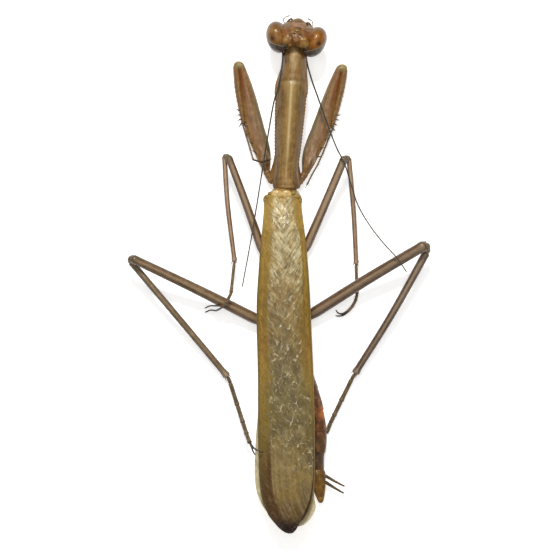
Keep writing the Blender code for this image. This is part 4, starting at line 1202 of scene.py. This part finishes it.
legs = {
    "mid_left": {"femur": (0.7, 0.54), "tibia": (0.4, 0.34), "foot": 0.31,
                 "coxa": [(0.55, -8.6, 1.05), (2.0, -4.8, 1.0)],
                 "thigh": [(2.8, -3.6, 1.25), (5.5, -11.4, 2.9), (8.45, -19.3, 4.5)],
                 "shin": [(9.05, -19.2, 3.2), (8.55, -11.5, 3.4), (7.35, -1.7, 3.75)],
                 "toes": [(7.45, -1.15, 3.85), (7.95, 3.5, 4.25), (8.65, 5.0, 4.2), (9.6, 5.75, 3.45)],
                 "prongs": [[(9.4, 5.65, 3.6), (10.5, 5.6, 2.2), (11.5, 5.65, 1.2), (12.4, 6.05, 0.6)],
                            [(9.4, 5.85, 3.4), (10.4, 6.4, 1.9), (11.4, 6.35, 0.9), (12.35, 6.75, 0.4)]]},
    "mid_right": {"femur": (0.72, 0.6), "tibia": (0.4, 0.34), "foot": 0.31,
                  "coxa": [(-1.95, -8.6, 1.05), (-3.7, -5.1, 1.0)],
                  "thigh": [(-4.5, -4.0, 1.25), (-7.75, -11.5, 2.9), (-10.95, -19.1, 4.4)],
                  "shin": [(-11.6, -18.9, 3.1), (-12.4, -10.0, 2.5), (-12.85, -1.3, 1.5)],
                  "toes": [(-12.85, -0.8, 1.4), (-13.0, 3.7, 0.95), (-12.75, 4.8, 0.9), (-12.1, 5.9, 0.8),
                           (-11.4, 6.6, 0.7)],
                  "prongs": [[(-11.5, 6.5, 0.7), (-10.6, 6.95, 0.6), (-9.9, 6.85, 0.5), (-9.45, 6.3, 0.4)],
                             [(-11.5, 6.6, 0.6), (-10.7, 7.2, 0.45), (-9.9, 7.35, 0.35),
                              (-9.4, 7.25, 0.25)]]},
    "hind_left": {"femur": (0.9, 0.66), "tibia": (0.53, 0.5), "foot": 0.42,
                  "coxa": [(0.45, 1.8, 1.1), (1.8, 5.4, 1.0), (2.75, 7.05, 1.15)],
                  "thigh": [(3.2, 8.15, 1.35), (13.8, 2.8, 3.1), (24.6, -2.4, 4.9)],
                  "shin": [(24.6, -1.75, 3.4), (16.5, 7.9, 2.2), (8.5, 17.5, 0.9)],
                  "toes": [(8.1, 18.5, 0.6), (6.9, 22.3, 0.45), (5.95, 25.2, 1.1), (5.35, 27.0, 2.5),
                           (4.85, 28.3, 4.0)],
                  "prongs": [[(4.9, 28.2, 3.9), (4.2, 29.1, 5.0), (3.4, 29.6, 5.5), (2.6, 29.85, 5.5)],
                             [(4.95, 28.1, 3.8), (4.6, 28.9, 4.0), (4.3, 29.7, 4.1), (3.95, 30.35, 4.1)]]},
    "hind_right": {"femur": (0.92, 0.82), "tibia": (0.65, 0.54), "foot": 0.42,
                   "coxa": [(-2.05, 1.8, 1.1), (-3.4, 5.2, 1.0), (-4.4, 6.3, 1.1)],
                   "thigh": [(-5.2, 7.2, 1.35), (-15.0, 1.0, 3.1), (-24.5, -4.65, 4.9)],
                   "shin": [(-24.5, -3.3, 3.2), (-18.85, 6.9, 2.2), (-12.6, 17.0, 0.9)],
                   "toes": [(-12.1, 17.9, 0.6), (-10.3, 21.6, 0.45), (-9.1, 24.1, 0.4), (-8.6, 25.1, 0.36),
                            (-8.3, 25.9, 0.34), (-8.0, 26.7, 0.34)]},
}


def link(a, b, radius, reach):
    # a short rounded piece of joint skin from one place to another
    a, b = Vector(a), Vector(b)
    lane = layLane([a, b], 8)
    return tube(lane, -reach, lane[-1][0] + reach, lambda s: radius, 20, 20,
                relief=lambda s, turn: 0.03 * math.cos(s * 25))


def footParts(joints, radius):
    # five foot lengths, each wider at its far end with a soft pad below
    parts = []
    for a, b in zip(joints, joints[1:]):
        a, b = Vector(a), Vector(b)
        lane = layLane([a, b], 8)
        length = lane[-1][0]

        def half(s):
            return radius * (0.84 + 0.2 * smoothStep(0.7, 0.97, s) + 0.06 * smoothStep(0.12, 0.0, s))
        parts.append(tube(lane, -0.1, length + 0.06, half, 20, 36, ends=(0.9, 0.7)))
        pad = laneAt(lane, length * 0.9)[0] - Vector((0, 0, radius * 0.5))
        parts.append(ball(pad, (radius * 0.62, radius * 0.9, radius * 0.6), (12, 8)))
    return parts


def footProngs(prongs, radius):
    # two long curved prongs, each along its own points
    parts = []
    for points in prongs:
        lane = layLane(points)
        parts.append(tube(lane, 0, lane[-1][0], lambda s: radius * (1 - 0.5 * s), 12, 40, ends=(1.0, 2.0)))
    return parts


def footClaws(joints, radius, length=0.95, spread=0.36):
    end = Vector(joints[-1])
    along = (end - Vector(joints[-2])).normalized()
    sideways = along.cross(Vector((0, 0, 1)))
    sideways = sideways.normalized() if sideways.length > 0.1 else Vector((1, 0, 0))
    parts = []
    for s in (-1, 1):
        tip = end + along * length + sideways * s * spread
        tip.z = max(tip.z, 0.1)
        parts += spikes([(end - along * 0.15 + sideways * s * 0.08, tip, radius * 0.42)], 8, -s * 0.2)
    return parts


def hipShape(halves):
    # a hip is a little higher than it is wide
    return lambda s: (curveAt(halves, s), curveAt(halves, s) * 1.15)


def buildLeg(word, leg):
    pair, side = word.split("_")
    name = pair + side.capitalize()
    look = name if pair == "hind" else pair
    lane = layLane(leg["coxa"])

    def hipRelief(s, turn):
        return -0.07 * hump(math.sin(turn + 0.6) - 0.3, 0.1) - 0.05 * hump(s - 0.85, 0.03)
    coxa = tube(lane, -0.3, lane[-1][0] + 0.1, hipShape(hipHalf), 36, 60, hipRelief)
    setPiece(f"{name}Hip", coxa, hipFinish, [f"{word}_coxa"])
    hipEnd, thighStart = Vector(leg["coxa"][-1]), Vector(leg["thigh"][0])
    first, last = leg["femur"]
    setPiece(f"{name}HipJoint", link(hipEnd, thighStart, first * 0.82, 0.45), hipFinish)

    thighLane = layLane(leg["thigh"])
    length = thighLane[-1][0]

    def thighHalf(s):
        radius = blend(first, last, s) * (0.82 + 0.18 * smoothStep(0, 0.1, s))
        return radius + 0.12 * last * smoothStep(0.9, 0.965, s)

    def ridges(s, turn):
        square = 0.055 * (0.5 + 0.5 * math.cos(4 * turn)) ** 2
        return square * smoothStep(0.02, 0.1, s) * smoothStep(0.97, 0.88, s)
    thigh = tube(thighLane, -0.9, length, thighHalf, 32, 170, ridges)
    setPiece(f"{name}Thigh", thigh, thighFinishes[look], [f"{word}_femur"])
    kneeEnd, shinStart = Vector(leg["thigh"][-1]), Vector(leg["shin"][0])
    centre, along = laneAt(thighLane, length - 0.35)[:2]
    drop = (shinStart - kneeEnd).normalized()
    across = along.cross(drop).normalized()
    turned = Matrix((along, across, drop)).transposed().to_4x4()
    half = (last * 0.62, last * 0.3, last * 0.62)
    lobes = [ball(centre + across * s * last * 0.72 + drop * last * 0.45, half, (20, 12), turned)
             for s in (-1, 1)]
    knee = lobes + [link(kneeEnd - along * 0.2, shinStart, leg["tibia"][0] * 1.02, 0.15)]
    setPiece(f"{name}Knee", gather(knee), kneeFinish)

    shinLane = layLane(leg["shin"])
    length = shinLane[-1][0]
    high, low = leg["tibia"]

    def shinHalf(s):
        swell = 1 + 0.18 * smoothStep(0.04, 0.0, s) + 0.25 * smoothStep(0.94, 0.995, s)
        return blend(high, low, s) * swell
    shin = tube(shinLane, -0.1, length, shinHalf, 28, 150,
                lambda s, turn: 0.03 * (0.5 + 0.5 * math.cos(4 * turn)) ** 2, (1.0, 0.7))
    setPiece(f"{name}Shin", shin, shinFinishes[look], [f"{word}_tibia"])
    tip, along, side, top = laneAt(shinLane, length)
    spurs = spikes([(tip - along * 0.25 + side * s * low * 0.7 - top * low * 0.5,
                     tip + along * 0.55 + side * s * 0.6 - top * 0.2, 0.09) for s in (-1, 1)], 8)
    foot = footParts(leg["toes"], leg["foot"]) + [link(tip, leg["toes"][0], leg["foot"] * 0.75, 0.12)]
    setPiece(f"{name}Foot", gather(foot), footFinishes[pair], [f"{word}_tarsus"])
    ends = footProngs(leg["prongs"], 0.2) if "prongs" in leg else footClaws(leg["toes"], leg["foot"])
    setPiece(f"{name}Claws", gather(ends + spurs), clawFinish)
    hairs = limbHairs(shinLane, low * 0.9, hairCounts["shin"])
    hairs += limbHairs(thighLane, last * 0.9, hairCounts["thigh"], (0.3, 0.95))
    for a, b in zip(leg["toes"], leg["toes"][1:]):
        hairs += limbHairs(layLane([a, b], 8), leg["foot"] * 0.72, hairCounts["toe"])
    setPiece(f"{name}Hairs", bristles(hairs), hairFinish)


forelegs = {
    "left": {"side": 1, "knee": (6.4, -34.85), "base": (2.05, -16.5),
             "coxa": [(-0.75, -30.2, 1.5), (-0.45, -25, 1.3), (-0.15, -19.5, 1.1), (1.15, -15, 1.0)],
             "toes": [(0.545, 2.0, 0.85), (0.64, 1.88, 0.75), (0.77, 1.75, 0.8), (0.86, 1.65, 1.4),
                      (0.9, 0.5, 2.25), (0.895, -0.8, 2.35)]},
    "right": {"side": -1, "knee": (-10.25, -34.4), "base": (-4.3, -16.1),
              "coxa": [(-3.35, -30.2, 1.5), (-2.95, -25, 1.3), (-2.4, -19.5, 1.1), (-3.25, -14.8, 1.0)],
              "toes": [(0.545, 2.0, 0.85), (0.64, 1.88, 0.75), (0.77, 1.72, 0.75), (0.88, 1.5, 0.8),
                       (0.98, 1.1, 0.8), (1.07, 0.85, 0.8)]},
}
grasp = {
    "level": 0.83,
    # share from the knee, plain margin, spined margin, half thickness
    "femur": ((0, -0.35, 0.2, 0.5), (0.04, -0.6, 0.5, 0.68), (0.2, -1.0, 0.95, 0.79),
              (0.34, -1.2, 1.3, 0.83), (0.48, -1.3, 1.62, 0.83), (0.56, -1.35, 1.78, 0.83),
              (0.64, -1.42, 1.7, 0.83), (0.72, -1.52, 1.48, 0.83), (0.8, -1.5, 1.22, 0.82),
              (0.88, -1.25, 1.0, 0.78), (0.94, -0.85, 0.75, 0.69), (1, -0.5, 0.5, 0.5)),
    "tibia": ((0.02, 0.9, 0.42), (0.1, 1.08, 0.54), (0.2, 1.3, 0.58), (0.28, 1.43, 0.56), (0.4, 1.58, 0.52),
              (0.47, 1.68, 0.44), (0.52, 1.8, 0.32), (0.545, 1.85, 0.18)),
    "coxaHalf": ((0.0, 0.95), (0.25, 1.0), (0.7, 0.85), (1.0, 0.7)),
    "longSpines": ((0.555, 1.05), (0.59, 1.1), (0.66, 0.7), (0.74, 0.7), (0.82, 0.6)),
    # small spines along the edge and on the shin: how many, first share from the knee, pitch, thickness
    "edgeSpines": (12, 0.3, 0.045, 0.06),
    "shinSpines": (9, 0.15, 0.042, 0.06),
    "sideSpines": ((0.42, -0.03), (0.455, -0.01), (0.487, 0.012)),         # share from the knee, lean
    "foot": 0.17,
}


def foreMarks(side):
    # a red-brown streak down the middle, a grey inner margin, an ochre dotted margin by the shin
    def marks(colour, place):
        out = product(axisOf(place, 0), side)
        along = axisOf(place, 2)
        cloud = noiseAt(stretched(place, (1, 1, 0.25)), 1.4, 4, 0.6)
        streak = product(remap(distanceTo(out, 0.5), 0.5, 0.1), remap(along, 9.0, 3.0, 0.25, 1.0))
        colour = tint(colour, (122, 58, 22), streak, 0.7)
        colour = tint(colour, (126, 116, 92), remap(out, -0.45, -1.0), 0.65)
        dots = cellsAt(stretched(place, (1, 1, 1.4)), 2.4, "F1", 0.6)
        row = product(remap(out, 0.55, 0.95), remap(dots, 0.26, 0.14, 0.35, 1.0))
        colour = tint(colour, (160, 122, 62), row, 0.6)
        colour = tint(colour, (112, 96, 54), remap(along, 1.4, 0.3), 0.6)
        return tint(colour, (206, 184, 156), remap(along, 13.5, 16.0), remap(cloud, 0.5, 0.62), 0.6)
    return marks


foreFinishes = {word: shellFinish(f"{word}ForelegShell", legTones["fore"], 1.2, 0.8, 0.36, 0.018, 0.4,
                                  foreMarks(leg["side"])) for word, leg in forelegs.items()}
foreShinFinish = shellFinish("foreShinShell", legTones["fore"], 1.4, 0.8, 0.38, 0.014, 0.35)
foreKneeFinish = shellFinish("foreKneeShell", ((96, 82, 42), (142, 124, 74), (176, 160, 110)), 2.2, 0.2,
                             0.4, 0.02, 0.25)
foreFootFinish = shellFinish("foreFootShell", legTones["foreFoot"], 1.8, 0.4, 0.42, 0.012, 0.3)
foreEndFinish = shellFinish("foreEndShell", ((58, 56, 40), (98, 98, 80), (132, 134, 116)), 2, 0.3, 0.4,
                            0.01, 0.3)


def foreFrame(leg):
    knee, base = Vector((*leg["knee"], 0)), Vector((*leg["base"], 0))
    along = base - knee
    outward = Vector((-along.y, along.x, 0)).normalized()
    if outward.x * leg["side"] < 0:
        outward = -outward
    return lambda share, out, height: knee + along * share + outward * out + Vector((0, 0, height))


def buildForeleg(word, leg):
    at = foreFrame(leg)
    finish, level = foreFinishes[word], grasp["level"]
    backs, fronts, thicks = curvesOf(grasp["femur"])
    middles = [(i / 10, (curveAt(backs, i / 10) + curveAt(fronts, i / 10)) / 2) for i in range(11)]
    lane = layLane([at(share, out, level) for share, out in middles], 12)

    def femurHalf(s):
        return (curveAt(fronts, s) - curveAt(backs, s)) / 2, curveAt(thicks, s)

    def femurRelief(s, turn):
        reach = math.cos(turn) * leg["side"]
        gutter = 0.16 * hump(math.sin(turn) - 0.1, 0.25) * smoothStep(0.75, 0.95, reach)
        gutter *= smoothStep(0.62, 0.3, s)
        return 0.05 * hump(math.sin(turn) - 0.75, 0.12) - gutter + 0.02 * math.cos(turn * 3 + s * 9)
    femur = tube(lane, 0, lane[-1][0], femurHalf, 48, 190, femurRelief, (0.9, 0.9))
    setPiece(f"{word}ForeThigh", femur, finish, [f"fore_femur_{word}"])

    outs, halves = curvesOf(grasp["tibia"])
    first, last = grasp["tibia"][0][0], grasp["tibia"][-1][0]
    places = [blend(first, last, i / 9) for i in range(10)]
    shinLane = layLane([at(share, curveAt(outs, share), level + 0.02) for share in places], 10)

    def shinHalf(s):
        wide = curveAt(halves, blend(first, last, s))
        return wide, wide * 1.05
    shin = tube(shinLane, -0.25, shinLane[-1][0], shinHalf, 28, 120,
                lambda s, turn: 0.03 * math.cos(4 * turn), (0.9, 1.0))
    setPiece(f"{word}ForeShin", shin, foreShinFinish, [f"fore_tibia_{word}"])
    knee = [link(at(0.015, 0.05, level), at(0.04, 0.95, level), 0.38, 0.1),
            ball(at(0.022, 0.42, level), (0.9, 0.78, 0.74), (32, 20))]
    setPiece(f"{word}ForeKnee", gather(knee), foreKneeFinish)

    rows = [(at(share, 0.85, level + 0.45), at(share - 0.05, 1.35 + size, level + 0.75), 0.14)
            for share, size in grasp["longSpines"]]
    count, start, pitch, radius = grasp["edgeSpines"]
    for i in range(count):                     # two rows along the edge that the shin folds against
        share = start + pitch * i
        size = 0.3 if i % 2 else 0.45
        front = curveAt(fronts, share)
        tip = (share - 0.018, front + size * 0.3)
        rows.append((at(share, front - 0.3, level + 0.32), at(*tip, level + 0.3 + size), radius))
        rows.append((at(share, front - 0.3, level - 0.35), at(*tip, level - 0.45), radius))
    count, start, pitch, radius = grasp["shinSpines"]
    for i in range(count):
        share = start + pitch * i
        out = curveAt(outs, share) + curveAt(halves, share)
        rows.append((at(share, out - 0.12, level + 0.2), at(share + 0.02, out + 0.3, level + 0.42), radius))
    rows.append((at(0.515, 1.85, level + 0.05), at(0.56, 2.75, level + 0.25), 0.2))
    for share, lean in grasp["sideSpines"]:
        rows.append((at(share, 1.8, level + 0.2), at(share + lean, 2.85, level + 0.35), 0.16))
    setPiece(f"{word}ForeSpines", gather(spikes(rows, 8)), spineFinish)

    hip = layLane(leg["coxa"])

    def hipRelief(s, turn):
        return 0.04 * math.cos(3 * turn) - 0.05 * hump(s - 0.93, 0.015)
    coxa = tube(hip, -0.2, hip[-1][0] + 0.1, hipShape(grasp["coxaHalf"]), 40, 150, hipRelief)
    setPiece(f"{word}ForeHip", coxa, foreShinFinish, [f"fore_coxa_{word}"])
    end = Vector(leg["coxa"][-1])
    joint = link(end, at(0.98, 0, level), 0.6, 0.35)
    setPiece(f"{word}ForeHipJoint", joint, foreShinFinish)

    toes = [at(*toe) for toe in leg["toes"]]
    foot = footParts(toes[:4], grasp["foot"]) + [link(at(0.53, 1.9, level), toes[0], grasp["foot"], 0.1)]
    setPiece(f"{word}ForeFoot", gather(foot), foreFootFinish, [f"fore_tarsus_{word}"])
    ends = footParts(toes[3:], grasp["foot"]) + footClaws(toes, grasp["foot"])
    setPiece(f"{word}ForeClaws", gather(ends), clawFinish if word == "left" else foreEndFinish)


for word, leg in legs.items():
    buildLeg(word, leg)
for word, leg in forelegs.items():
    buildForeleg(word, leg)
print("legs built")
